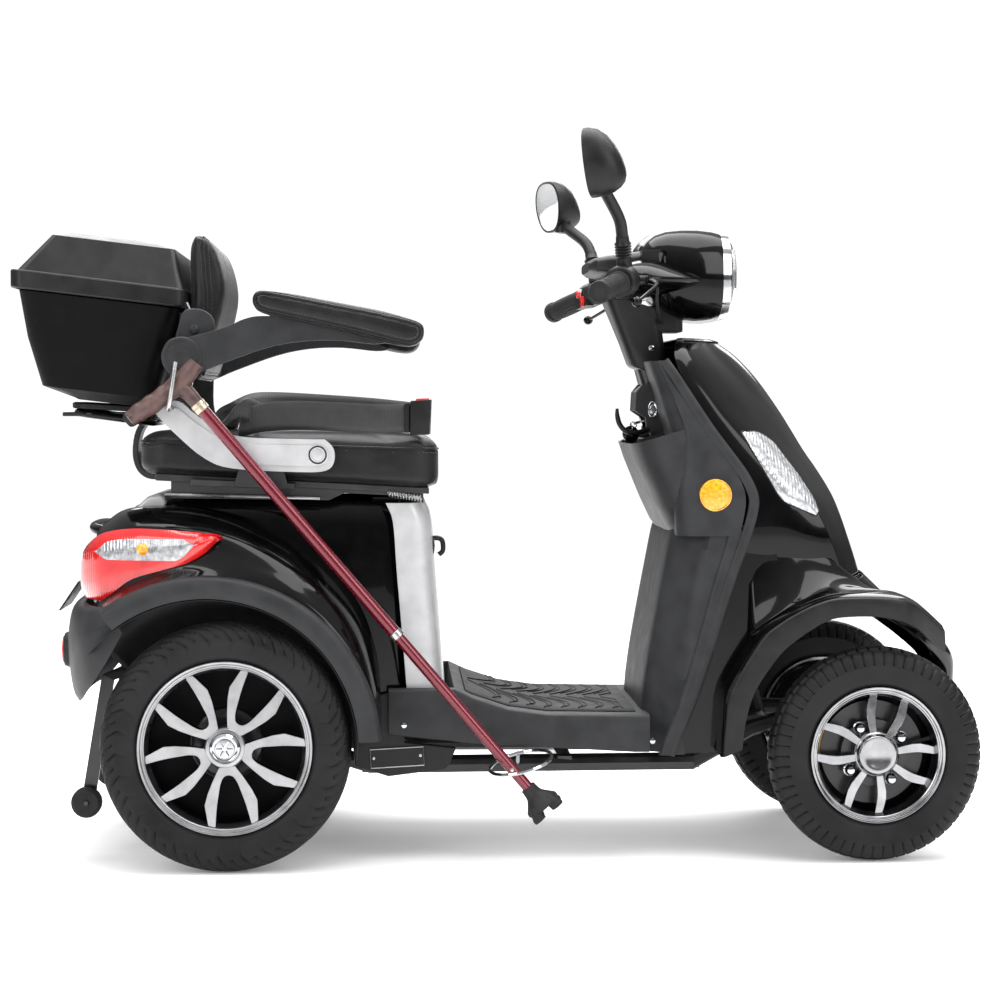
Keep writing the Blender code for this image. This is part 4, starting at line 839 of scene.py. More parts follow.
def build_rear_trim():
    stations = [(-0.176, 0.3200, 0.4300, 0.388), (-0.191, 0.3190, 0.4295, 0.360),
                (-0.207, 0.3120, 0.4280, 0.333), (-0.224, 0.2960, 0.4265, 0.308),
                (-0.240, 0.2650, 0.4255, 0.288), (-0.252, 0.2260, 0.4255, 0.272),
                (-0.262, 0.1700, 0.4260, 0.263), (-0.268, 0.0900, 0.4260, 0.262),
                (-0.270, 0.0, 0.4260, 0.262)]
    columns = []
    for x, y, top, low in stations:
        columns.append([(x + 0.022, -y + 0.006, top + 0.001), (x + 0.006, -y, top - 0.004),
                        (x - 0.003, -y, top - 0.03), (x - 0.006, -y, (top + low) / 2),
                        (x + 0.002, -y, low + 0.02), (x + 0.012, -y, low)])
    rows = [both(list(row)) for row in zip(*columns)]
    piece("rear_bumper_cover", grid(dense(rows, 4, 4)), "grey", "chassis", "rear_bumper",
          wall=0.003, bevel=0.001)
    lens = [(0.0, 0.018), (0.022, 0.017), (0.024, 0.013), (0.024, 0.0)]
    bezel = [(0.0235, 0.002), (0.0245, 0.015), (0.0275, 0.014), (0.030, 0.008), (0.030, 0.0)]
    lights = [(revolve(profile, (-0.262, side * 0.155, 0.347), (-1, 0, 0), 36), number)
              for side in (-1, 1) for number, profile in enumerate((lens, bezel))]
    piece("bumper_reflectors", merge(*lights), ("red", "satin"), "chassis")
    plate = [(-0.262, 0.4535), (-0.295, 0.4045), (-0.2975, 0.4055), (-0.2645, 0.4545)]
    piece("plate_bracket", prism(plate, -0.075, 0.075), "satin", "chassis", bevel=0.0008)
    loop = both([(-0.185, -0.122, 0.540), (-0.205, -0.119, 0.541), (-0.226, -0.104, 0.544),
                 (-0.236, -0.070, 0.546), (-0.239, 0.0, 0.5465)])
    piece("grab_bar_cover", tube(spline(loop, 6), 0.0092, 16), "gloss", "chassis",
          "rear_grab_bar")


# ---- deck, leg shield, bin ---------------------------------------------------------------------
DECK_TABLE = [(0.372, 0.284), (0.400, 0.270), (0.460, 0.250), (0.525, 0.241), (0.664, 0.2385)]


def deck_height(x):
    """Top of the floor at a distance from the rear axle."""
    return read(DECK_TABLE, x)[0]


def build_deck():
    rows = []
    for x in (0.262, 0.3655, 0.3715, 0.385, 0.400, 0.430, 0.460, 0.492, 0.525, 0.560, 0.600, 0.640,
              0.672, 0.696):
        low = read([(0.262, 0.210), (0.398, 0.1955), (0.672, 0.179)], x)[0]
        outer = deck_height(max(x, 0.372))
        inner = 0.232 if x < 0.37 else outer
        rows.append(both([(x, -0.2225, low), (x, -0.226, low + 0.002), (x, -0.226, outer - 0.008),
                          (x, -0.2235, outer - 0.002), (x, -0.218, outer), (x, -0.2085, outer),
                          (x, -0.2045, inner), (x, -0.10, inner), (x, 0.0, inner)]))
    piece("footboard_cover", grid(rows), "grey", "chassis", "footboard", wall=0.0035,
          bevel=0.0012)
    stations = [0.390 + 0.011 * i for i in range(27)]
    mat = [both([(x, -y, deck_height(x) + 0.0042 - (0.0025 if y > 0.182 else 0.0))
                 for y in (0.186, 0.1815, 0.12, 0.06, 0.0)]) for x in stations]
    piece("floor_mat", grid(mat), "rubber", "chassis", wall=0.003, bevel=0.001)
    leaves = []
    mat_front = 0.655
    for side in (-1, 1):
        for k in range(9):
            path = []
            for share in np.linspace(0.0, 1.0, 9):
                x = min(0.400 + 0.029 * k + 0.045 * math.sin(share * 2.2), mat_front)
                path.append((x, side * (0.014 + 0.155 * share), deck_height(x) + 0.0060))
            leaves.append(tube(path, 0.0022, 6, squash=0.6))
            path = [(min(x + 0.008, mat_front), y * 0.93, z) for x, y, z in path[1:]]
            leaves.append(tube(path, 0.0014, 6, squash=0.6))
    piece("floor_ribs", merge(*leaves), "rubber", "chassis")
    bolts = [bolt((x, side * 0.2262, z), (0, side, 0), 0.0055) for x, z in
             ((0.288, 0.2255), (0.700, 0.197)) for side in (-1, 1)]
    piece("deck_bolts", merge(*bolts), "chrome", "chassis")
    plate = [(0.232, 0.1500), (0.324, 0.1550), (0.322, 0.1905), (0.230, 0.1855)]
    piece("rating_plate", prism(plate, -0.2150, -0.2135), "satin", "chassis", bevel=0.0004)
    edge = [Vector((x, -0.2153, z)) for x, z in ((0.2335, 0.1525), (0.3215, 0.1573),
                                                 (0.3195, 0.1880), (0.2315, 0.1832))]
    frame_line = tube(edge, 0.0008, 6, closed=True)
    rivets = [bolt((x, -0.2150, z), (0, -1, 0), 0.0026, 0.0012) for x, z in
              ((0.2375, 0.1690), (0.3150, 0.1735))]
    piece("rating_plate_edge", merge(frame_line, *rivets), "zinc", "chassis")
    sill = [(0.198, 0.262), (0.274, 0.280), (0.290, 0.196), (0.375, 0.186), (0.360, 0.150),
            (0.262, 0.138), (0.206, 0.156)]
    piece("rear_sill", merge(prism(sill, -0.2125, -0.200), prism(sill, 0.200, 0.2125)), "satin",
          "chassis", bevel=0.003)


SHIELD = [(0.172, 0.694, 0.738, 0.222), (0.205, 0.690, 0.750, 0.222), (0.254, 0.690, 0.770, 0.222),
          (0.320, 0.698, 0.790, 0.2205), (0.400, 0.712, 0.812, 0.219), (0.470, 0.725, 0.832, 0.217),
          (0.528, 0.736, 0.850, 0.215), (0.545, 0.741, 0.853, 0.215)]


def build_leg_shield():
    rows = []
    for z, rear, front, half in SHIELD:
        rows.append(both([(front, -half, z), (front - 0.020, -half - 0.0015, z),
                          (front - 0.026, -half + 0.003, z), (rear + 0.060, -half + 0.006, z),
                          (rear + 0.022, -half + 0.040, z), (rear + 0.006, -half + 0.056, z),
                          (rear, -half + 0.076, z), (rear, -0.056, z), (rear, 0.0, z)]))
    piece("leg_shield_cover", grid(dense(rows, 3, 3, (2, 3, 4, 12, 13, 14))), "grey",
          "chassis", "leg_shield", wall=0.003, bevel=0.001)
    edge = [(0.738, 0.172), (0.750, 0.205), (0.772, 0.254), (0.795, 0.320), (0.820, 0.400),
            (0.844, 0.476), (0.865, 0.535), (0.8775, 0.580), (0.8770, 0.606), (0.8620, 0.638),
            (0.8360, 0.674), (0.8080, 0.712), (0.7780, 0.758), (0.7510, 0.801), (0.7330, 0.828)]
    half_at = [(0.172, 0.222), (0.400, 0.219), (0.600, 0.2145), (0.700, 0.201), (0.800, 0.180),
               (0.828, 0.168)]
    for side, label in SIDES:
        path = spline([(x - 0.009, side * (read(half_at, z)[0] + 0.0005), z) for x, z in edge], 5)
        loops = []
        out = Vector((0.0, side, 0.0))
        for i, point in enumerate(path):
            wide = heading(path, i).cross(out).normalized()
            loops.append([point + wide * a + out * b for a, b in
                          ((-0.0090, -0.004), (-0.0085, 0.002), (-0.005, 0.0042), (0.005, 0.0042),
                           (0.0085, 0.002), (0.0090, -0.004))])
        piece(f"leg_shield_trim_{label}", loft(loops), "grey", "chassis", bevel=0.001)
        wall = []
        for z, rear, front in ((0.536, 0.745, 0.846), (0.600, 0.740, 0.856), (0.650, 0.742, 0.836),
                               (0.700, 0.738, 0.800), (0.760, 0.722, 0.764), (0.828, 0.702, 0.728)):
            half = read(half_at, z)[0]
            wall.append([(front, side * half, z), ((front + rear) / 2, side * (half - 0.001), z),
                         (rear + 0.020, side * (half - 0.006), z),
                         (rear + 0.004, side * (half - 0.022), z),
                         (rear, side * (half - 0.045), z), (rear, side * 0.062, z)])
        piece(f"leg_shield_upper_{label}", grid(dense(wall, 4, 4)), "grey", "chassis", wall=0.003,
              bevel=0.001)
        spot = (0.806, side * 0.2115, 0.604)
        disc = revolve([(0.0, 0.0062), (0.0200, 0.0058), (0.0240, 0.0045), (0.0240, -0.012),
                        (0.0, -0.012)], spot, (0, side, 0), 48)
        ring = revolve([(0.0240, -0.010), (0.0240, 0.0052), (0.0265, 0.0048), (0.0275, 0.0010),
                        (0.0275, -0.010)], spot, (0, side, 0), 48)
        bar = prism([(0.7865, 0.5945), (0.8255, 0.6065), (0.8225, 0.6155), (0.7835, 0.6035)],
                    *sorted((side * 0.2165, side * 0.2185)))
        piece(f"side_reflector_{label}", merge(disc, ring, bar), "amber", "chassis",
              bevel=0.0005)
        panel = [(0.738, 0.172), (0.770, 0.254), (0.812, 0.400), (0.850, 0.528), (0.866, 0.560),
                 (0.905, 0.520), (0.930, 0.423), (0.866, 0.372), (0.817, 0.290), (0.805, 0.176)]
        piece(f"front_side_panel_{label}", slab(panel, side, 0.2085, 0.2115),
              "gloss", "chassis", bevel=0.001)
    piece("front_bulkhead", prism([(0.772, 0.172), (0.775, 0.172), (0.789, 0.440), (0.786, 0.440)],
                                  -0.208, 0.208), "satin", "chassis")


def build_bin():
    def outline(rear, front, half, z, notch, rise=0.0):
        right = [(rear, 0.0), (rear, -half * 0.45), (rear + 0.004, -half * 0.70),
                 (rear + 0.018, -half * 0.86), (rear + 0.045, -half * 0.965), (front, -half)]
        curve = [(p.x, p.y) for p in spline([(x, y, 0) for x, y in right], 5)]
        tail = [(front, -half * 0.8), (front, -0.052), (notch, -0.046), (notch, 0.0)]
        loop = curve + tail
        whole = loop + [(x, -y) for x, y in reversed(loop[1:-1])]
        return [(x, y, z + rise * (x - rear) / (front - rear)) for x, y in whole]

    outer = [outline(0.7400, 0.795, 0.200, 0.5375, 0.752), outline(0.730, 0.797, 0.206, 0.552, 0.748),
             outline(0.712, 0.802, 0.208, 0.590, 0.736),
             outline(0.6945, 0.798, 0.204, 0.632, 0.722, 0.006),
             outline(0.682, 0.784, 0.199, 0.662, 0.711, 0.016),
             outline(0.674, 0.766, 0.196, 0.685, 0.704, 0.028),
             outline(0.6725, 0.766, 0.1965, 0.688, 0.7035, 0.028)]
    inner = [outline(0.6765, 0.7615, 0.1920, 0.688, 0.7000, 0.028),
             outline(0.6780, 0.7610, 0.1905, 0.682, 0.7010, 0.026),
             outline(0.6880, 0.7680, 0.185, 0.655, 0.7080, 0.012),
             outline(0.7110, 0.7780, 0.180, 0.600, 0.7260),
             outline(0.7360, 0.7830, 0.170, 0.556, 0.7460)]
    piece("storage_bin_cover", loft(outer + inner), "grey", "chassis", "storage_bin",
          bevel=0.0008)


# ---- cowl, fenders, nose -----------------------------------------------------------------------
# height, rear edge, half width, flank crease, front crease, nose
COWL = [(0.462, 0.838, 0.2000, 1.026, 1.062, 1.0815), (0.500, 0.848, 0.2080, 1.012, 1.050, 1.0690),
        (0.530, 0.8565, 0.2135, 1.000, 1.040, 1.058), (0.565, 0.864, 0.2135, 0.984, 1.027, 1.046),
        (0.600, 0.8680, 0.2115, 0.965, 1.010, 1.032), (0.640, 0.8480, 0.2075, 0.930, 0.984, 1.008),
        (0.675, 0.8260, 0.2030, 0.896, 0.957, 0.984), (0.712, 0.8040, 0.1960, 0.862, 0.930, 0.962),
        (0.750, 0.7830, 0.1880, 0.829, 0.900, 0.938), (0.800, 0.7540, 0.1760, 0.795, 0.856, 0.902),
        (0.836, 0.7420, 0.1600, 0.776, 0.822, 0.868), (0.858, 0.7480, 0.1320, 0.772, 0.806, 0.838)]


def cowl_row(z):
    """The cowl from above, at a height."""
    edge, half, crease, front, nose = read(COWL, z)
    return [(edge, -half), ((edge * 2 + crease) / 3, -half * 1.004),
            ((edge + crease * 2) / 3, -half * 0.985), (crease, -half * 0.93),
            ((crease + front) / 2, -half * 0.76), (front, -half * 0.54),
            (front + (nose - front) * 0.62, -half * 0.34), (nose, 0.0)]


def cowl_y(x, z):
    """Half width of the cowl's flank."""
    xs, ys = zip(*cowl_row(z))
    return float(np.interp(x, xs, [-y for y in ys]))


LENS_EDGES = (((0.851, 0.708), (0.862, 0.688), (0.883, 0.652), (0.899, 0.624), (0.915, 0.596),
               (0.945, 0.582), (0.974, 0.570)),
              ((0.860, 0.7085), (0.881, 0.709), (0.907, 0.696), (0.935, 0.658), (0.962, 0.621),
               (0.974, 0.598), (0.981, 0.578)))


def along_path(points, share):
    """Point at a share of a 2D path's length."""
    steps = [0.0]
    for a, b in zip(points, points[1:]):
        steps.append(steps[-1] + math.hypot(b[0] - a[0], b[1] - a[1]))
    return [float(np.interp(share * steps[-1], steps, column)) for column in zip(*points)]


def build_cowl():
    rows = [both([(x, y, row[0]) for x, y in cowl_row(row[0])]) for row in COWL]
    table = dense(rows, 3, 4, (3, 5, 9, 11))
    piece("front_cowl_cover", grid(table), "gloss", "chassis", "front_cowl",
          wall=0.003, bevel=0.0012)
    crown_x = 0.775
    lid = [[(crown_x + (p.x - crown_x) * shrink, p.y * shrink, p.z + rise) for p in table[-1]]
           for shrink, rise in ((1.0, 0.0), (0.97, 0.005), (0.80, 0.0085), (0.3, 0.011),
                                (0.0, 0.0115))]
    piece("cowl_top", grid(lid), "gloss", "chassis", wall=0.002)
    for side, label in SIDES:
        rows = []
        for share in np.linspace(0.0, 1.0, 11):
            left, right = (along_path(edge, share) for edge in LENS_EDGES)
            row = []
            wide = math.dist(left, right)
            for s in np.linspace(-1.0, 1.0, 9):
                x, z = (a + (b - a) * (s + 1.0) / 2.0 for a, b in zip(left, right))
                y = cowl_y(x, z) + 0.001 + 0.0060 * (1.0 - s * s) * min(1.0, wide / 0.04)
                row.append((x, side * y, z))
            rows.append(row)
        piece(f"indicator_lens_{label}", grid(dense(rows, 3, 2)), "clear", "chassis", wall=0.003,
              bevel=0.0008)
        border = [row[0] for row in rows] + [row[-1] for row in reversed(rows)]
        piece(f"indicator_gasket_{label}", tube(spline(border, 3, closed=True), 0.0022, 8,
                                                closed=True), "satin", "chassis")


FENDER = [(0.808, 0.176, 0.840, 0.190, 0.290), (0.811, 0.230, 0.846, 0.238, 0.290),
          (0.820, 0.288, 0.862, 0.288, 0.290), (0.869, 0.370, 0.900, 0.344, 0.290),
          (0.900, 0.398, 0.926, 0.368, 0.290), (0.935, 0.419, 0.953, 0.387, 0.290),
          (0.968, 0.433, 0.978, 0.401, 0.290), (1.000, 0.440, 1.005, 0.408, 0.290),
          (1.060, 0.441, 1.060, 0.409, 0.290), (1.105, 0.4370, 1.108, 0.4000, 0.288),
          (1.132, 0.4270, 1.136, 0.3850, 0.272), (1.158, 0.4080, 1.160, 0.3640, 0.248),
          (1.190, 0.3810, 1.192, 0.3400, 0.216)]


def build_fender(side, label):
    rows = []
    for top_x, top_z, lip_x, lip_z, reach in FENDER:
        inner = read([(1.060, 0.198), (1.110, 0.193), (1.160, 0.184), (1.190, 0.170)], top_x)[0]
        rows.append([(top_x, side * inner, top_z + 0.004),
                     (top_x, side * (inner * 0.45 + reach * 0.55), top_z + 0.003),
                     (top_x, side * (reach - 0.014), top_z),
                     (top_x * 0.9 + lip_x * 0.1, side * (reach - 0.003), top_z * 0.9 + lip_z * 0.1),
                     (top_x * 0.75 + lip_x * 0.25, side * reach, top_z * 0.75 + lip_z * 0.25),
                     (lip_x, side * reach, lip_z),
                     (lip_x, side * (reach - 0.006), lip_z - 0.001)])
    skin = striped(dense(rows, 4, 3, (2, 5)), lambda column: column >= 9)
    piece(f"front_fender_cover_{label}", skin, ("gloss", "satin"), "chassis",
          f"front_fender_{label}", wall=0.0025, bevel=0.0008)
    shoulder = []
    for x, low, high, out in ((0.862, 0.372, 0.520, 0.214), (0.900, 0.399, 0.512, 0.226),
                              (0.940, 0.423, 0.499, 0.236), (0.985, 0.440, 0.483, 0.240),
                              (1.030, 0.444, 0.463, 0.234), (1.068, 0.4425, 0.446, 0.222),
                              (1.100, 0.4355, 0.434, 0.208)):
        rise = max(0.002, min(0.030, 0.6 * (high - low)))
        shoulder.append([(x, side * 0.196, high + rise), (x, side * 0.207, high),
                         (x, side * (0.207 + (out - 0.207) * 0.6), (high + low) / 2),
                         (x, side * (out + 0.012), low + 0.006), (x, side * (out + 0.030), low)])
    piece(f"fender_shoulder_{label}", grid(dense(shoulder, 4, 4)), "gloss", "chassis",
          wall=0.002)


def build_nose():
    profile = [(1.076, 0.4680, 0.196), (1.0835, 0.4605, 0.196), (1.134, 0.414, 0.192),
               (1.190, 0.374, 0.178), (1.228, 0.342, 0.138), (1.243, 0.315, 0.110),
               (1.2455, 0.285, 0.100), (1.244, 0.258, 0.094)]
    rows = []
    for x, z, half in profile:
        back = 0.016 if z > 0.32 else 0.012
        rows.append(both([(x - 2.2 * back, -half, z - 0.012), (x - back, -half * 0.86, z - 0.002),
                          (x - 0.25 * back, -half * 0.5, z), (x, 0.0, z + 0.001)]))
    piece("front_nose_cover", grid(dense(rows, 4, 4)), "gloss", "chassis", "front_nose",
          wall=0.003, bevel=0.001)


# ---- soft goods --------------------------------------------------------------------------------
def swell(bm, limit, voxel=0.0055):
    """Stuff a closed form: an even remesh, then a cloth simulation under inside pressure."""
    scene = bpy.context.scene
    bmesh.ops.recalc_face_normals(bm, faces=bm.faces[:])
    mesh = bpy.data.meshes.new("stuffed")
    bm.to_mesh(mesh)
    bm.free()
    obj = bpy.data.objects.new("stuffed", mesh)
    scene.collection.objects.link(obj)
    remesh = obj.modifiers.new("remesh", "REMESH")
    remesh.mode = "VOXEL"
    remesh.voxel_size = voxel
    graph = bpy.context.evaluated_depsgraph_get()
    obj.data = bpy.data.meshes.new_from_object(obj.evaluated_get(graph))
    obj.modifiers.clear()
    count = len(obj.data.vertices)
    rest = np.empty(count * 3)
    obj.data.vertices.foreach_get("co", rest)
    cloth = obj.modifiers.new("cloth", "CLOTH")
    cloth.settings.use_pressure = True
    cloth.settings.uniform_pressure_force = 4.0
    cloth.settings.effector_weights.gravity = 0.0
    cloth.point_cache.frame_end = 20
    for step in range(1, 21):
        scene.frame_set(step)
    graph = bpy.context.evaluated_depsgraph_get()
    puffed = np.empty(count * 3)
    obj.evaluated_get(graph).data.vertices.foreach_get("co", puffed)
    move = (puffed - rest).reshape(-1, 3)
    size = np.linalg.norm(move, axis=1, keepdims=True)
    move *= np.minimum(1.0, limit / np.maximum(size, 1e-9))
    rest += move.ravel()
    scene.frame_set(1)
    result = bmesh.new()
    obj.modifiers.clear()
    obj.data.vertices.foreach_set("co", rest)
    result.from_mesh(obj.data)
    bpy.data.objects.remove(obj)
    bmesh.ops.smooth_vert(result, verts=result.verts[:], factor=0.5, use_axis_x=True,
                          use_axis_y=True, use_axis_z=True)
    return result


def cushion(name, bm, body, node, path, limit):
    """A stuffed piece with piping along a path laid on its surface, and a row of stitches."""
    soft = swell(bm, limit)
    tree = BVHTree.FromBMesh(soft)
    rope = []
    for point in spline(path, 5, closed=True):
        spot, normal, _, _ = tree.find_nearest(point)
        rope.append(spot + normal * 0.0006)
    stitches = []
    for start, end in zip(rope, rope[1:]):
        middle = (start + end) / 2.0
        ahead = (end - start).normalized()
        sideways = ahead.cross(tree.find_nearest(middle)[1]).normalized()
        for shift in (-0.007, 0.007):
            spot, normal, _, _ = tree.find_nearest(middle + sideways * shift)
            spot += normal * 0.0003
            thread = tube([spot - ahead * 0.0017, spot + ahead * 0.0017], 0.0005, 5)
            stitches.append((thread, 1))
    made = piece(name, soft, "vinyl", body, node, sharp=70.0)
    smooth = made.modifiers.new("smooth", "SUBSURF")
    smooth.levels = 1
    smooth.render_levels = 1
    piece(f"{name}_piping", merge(tube(rope, 0.0019, 8, closed=True), *stitches),
          ("vinyl", "thread"), body)


def seat_height(x, share):
    """Height inside the seat pad; share runs from its underside to its top."""
    low, high = read([(-0.154, 0.645, 0.709), (0.354, 0.617, 0.701)], x)
    return low + (high - low) * share


def build_cushions():
    levels = [(0.02, 0.014), (0.04, 0.006), (0.14, 0.003), (0.45, 0.0035), (0.68, 0.003),
              (0.80, 0.0045), (0.89, 0.010), (0.955, 0.024), (0.99, 0.060), (1.0, 0.110),
              (1.0, 0.160)]
    loops = [rounded(-0.153 + shrink, 0.353 - shrink, 0.235 - shrink, max(0.050 - shrink, 0.012),
                     lambda x, share=share: seat_height(x, share)) for share, shrink in levels]
    ring = [Vector(p) for p in rounded(-0.153, 0.353, 0.235, 0.050,
                                       lambda x: seat_height(x, 0.80), 4)]
    cushion("seat_pad", loft(loops), "seat", "seat_cushion", ring, 0.006)

    section = flat([(-0.0615, 0.806), (-0.048, 0.800), (-0.028, 0.860), (-0.008, 0.945),
                    (-0.024, 1.016), (-0.050, 1.037), (-0.0615, 1.026), (-0.0615, 0.945)], 5)
    middle_x, middle_z = -0.036, 0.925
    loops = []
    for shrink, y, _ in both([(0.60, -0.191, 0), (0.80, -0.188, 0), (0.92, -0.178, 0),
                              (0.98, -0.155, 0), (1.0, -0.100, 0), (1.0, 0.0, 0)]):
        tall = 1.0 - (1.0 - shrink) * 0.25
        loops.append([(middle_x + (x - middle_x) * shrink, y, middle_z + (z - middle_z) * tall)
                      for x, z in section])
    ring = both([(-0.040, -0.190, 0.830), (-0.034, -0.193, 0.930), (-0.040, -0.190, 1.010),
                 (-0.042, -0.165, 1.034), (-0.042, 0.0, 1.038)])
    ring += [(-0.045, 0.160, 0.805), (-0.046, 0.0, 0.803), (-0.045, -0.160, 0.805)]
    ring = [Vector(a).lerp(Vector(b), share) for a, b in zip(ring, ring[1:] + ring[:1])
            for share in (0.0, 0.34, 0.67)]
    cushion("back_pad", loft(loops), "seat", "backrest_cushion", ring, 0.004)


def build_arm(side, label):
    body = f"armrest_{label}"
    outline = flat([(0.047, 0.9120), (0.062, 0.9020), (0.140, 0.8850), (0.221, 0.8665),
                    (0.285, 0.8500), (0.306, 0.8495), (0.3190, 0.8600), (0.3215, 0.8760),
                    (0.312, 0.8890), (0.250, 0.9050), (0.180, 0.9180), (0.110, 0.9310),
                    (0.060, 0.9385), (0.046, 0.9340), (0.0435, 0.9220)], 3)

    def pad_loop(shorten, shrink, y):
        """The outline drawn in towards the pad's sloping middle line."""
        loop = []
        for x, z in outline:
            middle = 0.9 - (x - 0.18) * 0.20
            loop.append((0.183 + (x - 0.183) * shorten, y, middle + (z - middle) * shrink))
        return loop

    loops = []
    for share in (-1.0, -0.93, -0.78, -0.5, 0.0, 0.5, 0.78, 0.93, 1.0):
        shrink = 1.0 - 0.42 * abs(share) ** 7
        shorten = 1.0 - 0.075 * abs(share) ** 5
        loops.append(pad_loop(shorten, shrink, side * (0.270 + 0.0285 * share)))
    ring = pad_loop(0.97, 0.78, side * 0.2965)
    cushion(f"arm_pad_{label}", loft(loops), body, f"armrest_pad_{label}", ring, 0.0025)

    arm = flat([(-0.090, 0.804), (-0.071, 0.7985), (-0.050, 0.803), (-0.020, 0.816),
                (0.060, 0.845), (0.120, 0.857), (0.180, 0.859), (0.240, 0.8530), (0.262, 0.8580),
                (0.220, 0.872), (0.120, 0.893), (0.060, 0.898), (0.030, 0.893), (0.000, 0.880),
                (-0.058, 0.864), (-0.090, 0.860), (-0.104, 0.832)], 4)
    bar = slab(arm, side, 0.247, 0.2745)
    pivot = (-0.071, side * 0.2735, 0.832)
    disc = revolve([(0.0325, -0.003), (0.0325, 0.0015), (0.0305, 0.0032), (0.0265, 0.0034),
                    (0.0250, 0.0020), (0.0225, 0.0020), (0.0210, 0.0034), (0.0105, 0.0036),
                    (0.0090, 0.0026), (0.0, 0.0026)], pivot, (0, side, 0), 56)
    piece(f"arm_cover_{label}", merge(bar, disc), "grey", body, f"armrest_{label}",
          bevel=0.0045, segments=3)

    cover = flat([(-0.118, 0.757), (-0.112, 0.738), (-0.080, 0.705), (-0.036, 0.668),
                  (0.010, 0.651), (0.118, 0.645), (0.160, 0.647), (0.174, 0.660),
                  (0.174, 0.682), (0.160, 0.697), (0.146, 0.698), (0.038, 0.701),
                  (-0.007, 0.711), (-0.050, 0.738), (-0.077, 0.760)], 4)
    panel = flat([(-0.098, 0.749), (-0.090, 0.733), (-0.066, 0.709), (-0.028, 0.680),
                  (0.014, 0.661), (0.118, 0.6550), (0.154, 0.6565), (0.1645, 0.665),
                  (0.1645, 0.679), (0.154, 0.6875), (0.142, 0.6885), (0.036, 0.691),
                  (-0.012, 0.702), (-0.052, 0.728), (-0.078, 0.748)], 4)
    knob = (0.148, side * 0.2672, 0.673)
    button = revolve([(0.0155, -0.002), (0.0150, 0.0006), (0.0125, 0.0006), (0.0120, -0.0006),
                      (0.0098, -0.0006), (0.0092, 0.0016), (0.0040, 0.0026), (0.0, 0.0026)],
                     knob, (0, side, 0), 36)
    bar = merge(slab(cover, side, 0.2466, 0.2648), slab(panel, side, 0.2600, 0.2678), button)
    piece(f"side_bar_cover_{label}", bar, "silver", "seat", f"side_bar_{label}",
          bevel=0.0014, segments=3)

    shell = flat([(-0.082, 0.857), (-0.078, 0.885), (-0.071, 0.905), (-0.058, 0.911),
                  (-0.038, 0.909), (-0.024, 0.898), (-0.020, 0.880), (-0.024, 0.868),
                  (-0.050, 0.858)], 4)
    cap = revolve([(0.0095, -0.002), (0.0090, 0.0012), (0.0060, 0.0024), (0.0, 0.0028)],
                  (-0.053, side * 0.2425, 0.877), (0, side, 0), 28)
    piece(f"back_bracket_{label}", merge(slab(shell, side, 0.2250, 0.2425), cap), "grey", "seat",
          bevel=0.004, segments=3)


def webbing(path, wide=0.024, per=6):
    """Strip of webbing; path is (centre, direction across) for each station."""
    rows = []
    for centre, sideways in path:
        step = Vector(sideways).normalized() * wide
        rows.append([Vector(centre) + step * k for k in (-1.0, -0.5, 0.0, 0.5, 1.0)])
    return grid(dense(rows, per, 1))


def build_belt():
    up = (0.0, 0.02, 1.0)
    near = [((0.018, -0.205, 0.724), (0.1, 0.25, 1.0)), ((0.060, -0.217, 0.734), up),
            ((0.110, -0.223, 0.737), up), ((0.170, -0.226, 0.735), up),
            ((0.230, -0.225, 0.732), up), ((0.275, -0.220, 0.732), up),
            ((0.302, -0.217, 0.733), up)]
    far = [((0.325, -0.205, 0.732), up), ((0.300, -0.160, 0.735), up),
           ((0.235, -0.120, 0.742), up), ((0.150, -0.105, 0.748), up),
           ((0.080, -0.118, 0.752), (-0.15, 0.1, 1.0)), ((0.045, -0.150, 0.752), (-0.5, 0.1, 1.0)),
           ((0.020, -0.165, 0.744), (-0.9, 0.2, 0.7)), ((-0.002, -0.150, 0.738), (-0.8, 0.5, 0.4)),
           ((-0.010, -0.110, 0.729), (-0.9, 0.3, 0.15)),
           ((-0.020, -0.020, 0.7165), (-1.0, 0.1, 0.02)),
           ((-0.030, 0.100, 0.7150), (-1.0, 0.1, 0.01)),
           ((-0.040, 0.200, 0.7120), (-1.0, 0.1, 0.0))]
    fold = [((-0.012, -0.214, 0.7225), (0.75, 0.1, 0.6)), ((0.004, -0.222, 0.737), (0.55, 0.1, 0.9)),
            ((0.022, -0.218, 0.748), (0.45, 0.2, 0.9)), ((0.040, -0.206, 0.744), (0.3, 0.3, 1.0)),
            ((0.052, -0.190, 0.736), (0.2, 0.2, 1.0))]
    strips = merge(webbing(near), webbing(far), webbing(fold, 0.019))
    piece("lap_belt_webbing", strips, "web", "seat", "lap_belt", wall=0.0022)
    case = prism([(0.2985, 0.705), (0.3300, 0.705), (0.3320, 0.763), (0.2995, 0.761)],
                 -0.2260, -0.2120)
    tongue = prism([(0.290, 0.7085), (0.2975, 0.7085), (0.2975, 0.7585), (0.290, 0.7570)],
                   -0.2235, -0.2145)
    piece("belt_buckle", merge(case, tongue), "satin", "seat", bevel=0.0015, segments=3)
    edge = prism([(0.3300, 0.706), (0.3325, 0.706), (0.3345, 0.7635), (0.3318, 0.7635)],
                 -0.2255, -0.2125)
    piece("belt_buckle_edge", merge(edge), "chrome", "seat", bevel=0.0006)
    release = prism([(0.3080, 0.7605), (0.3300, 0.7620), (0.3302, 0.7655), (0.3085, 0.7645)],
                    -0.2240, -0.2140)
    piece("belt_release", release, "button", "seat", bevel=0.0008)


# ---- top box -----------------------------------------------------------------------------------
BOX_SLOPE = 0.118


def box_level(rear, front, half, z, corner=0.030, steps=6):
    """The top box from above, at a height; the box leans with its slope."""
    return rounded(rear, front, half, corner, lambda x: z - BOX_SLOPE * (x + 0.190), steps)


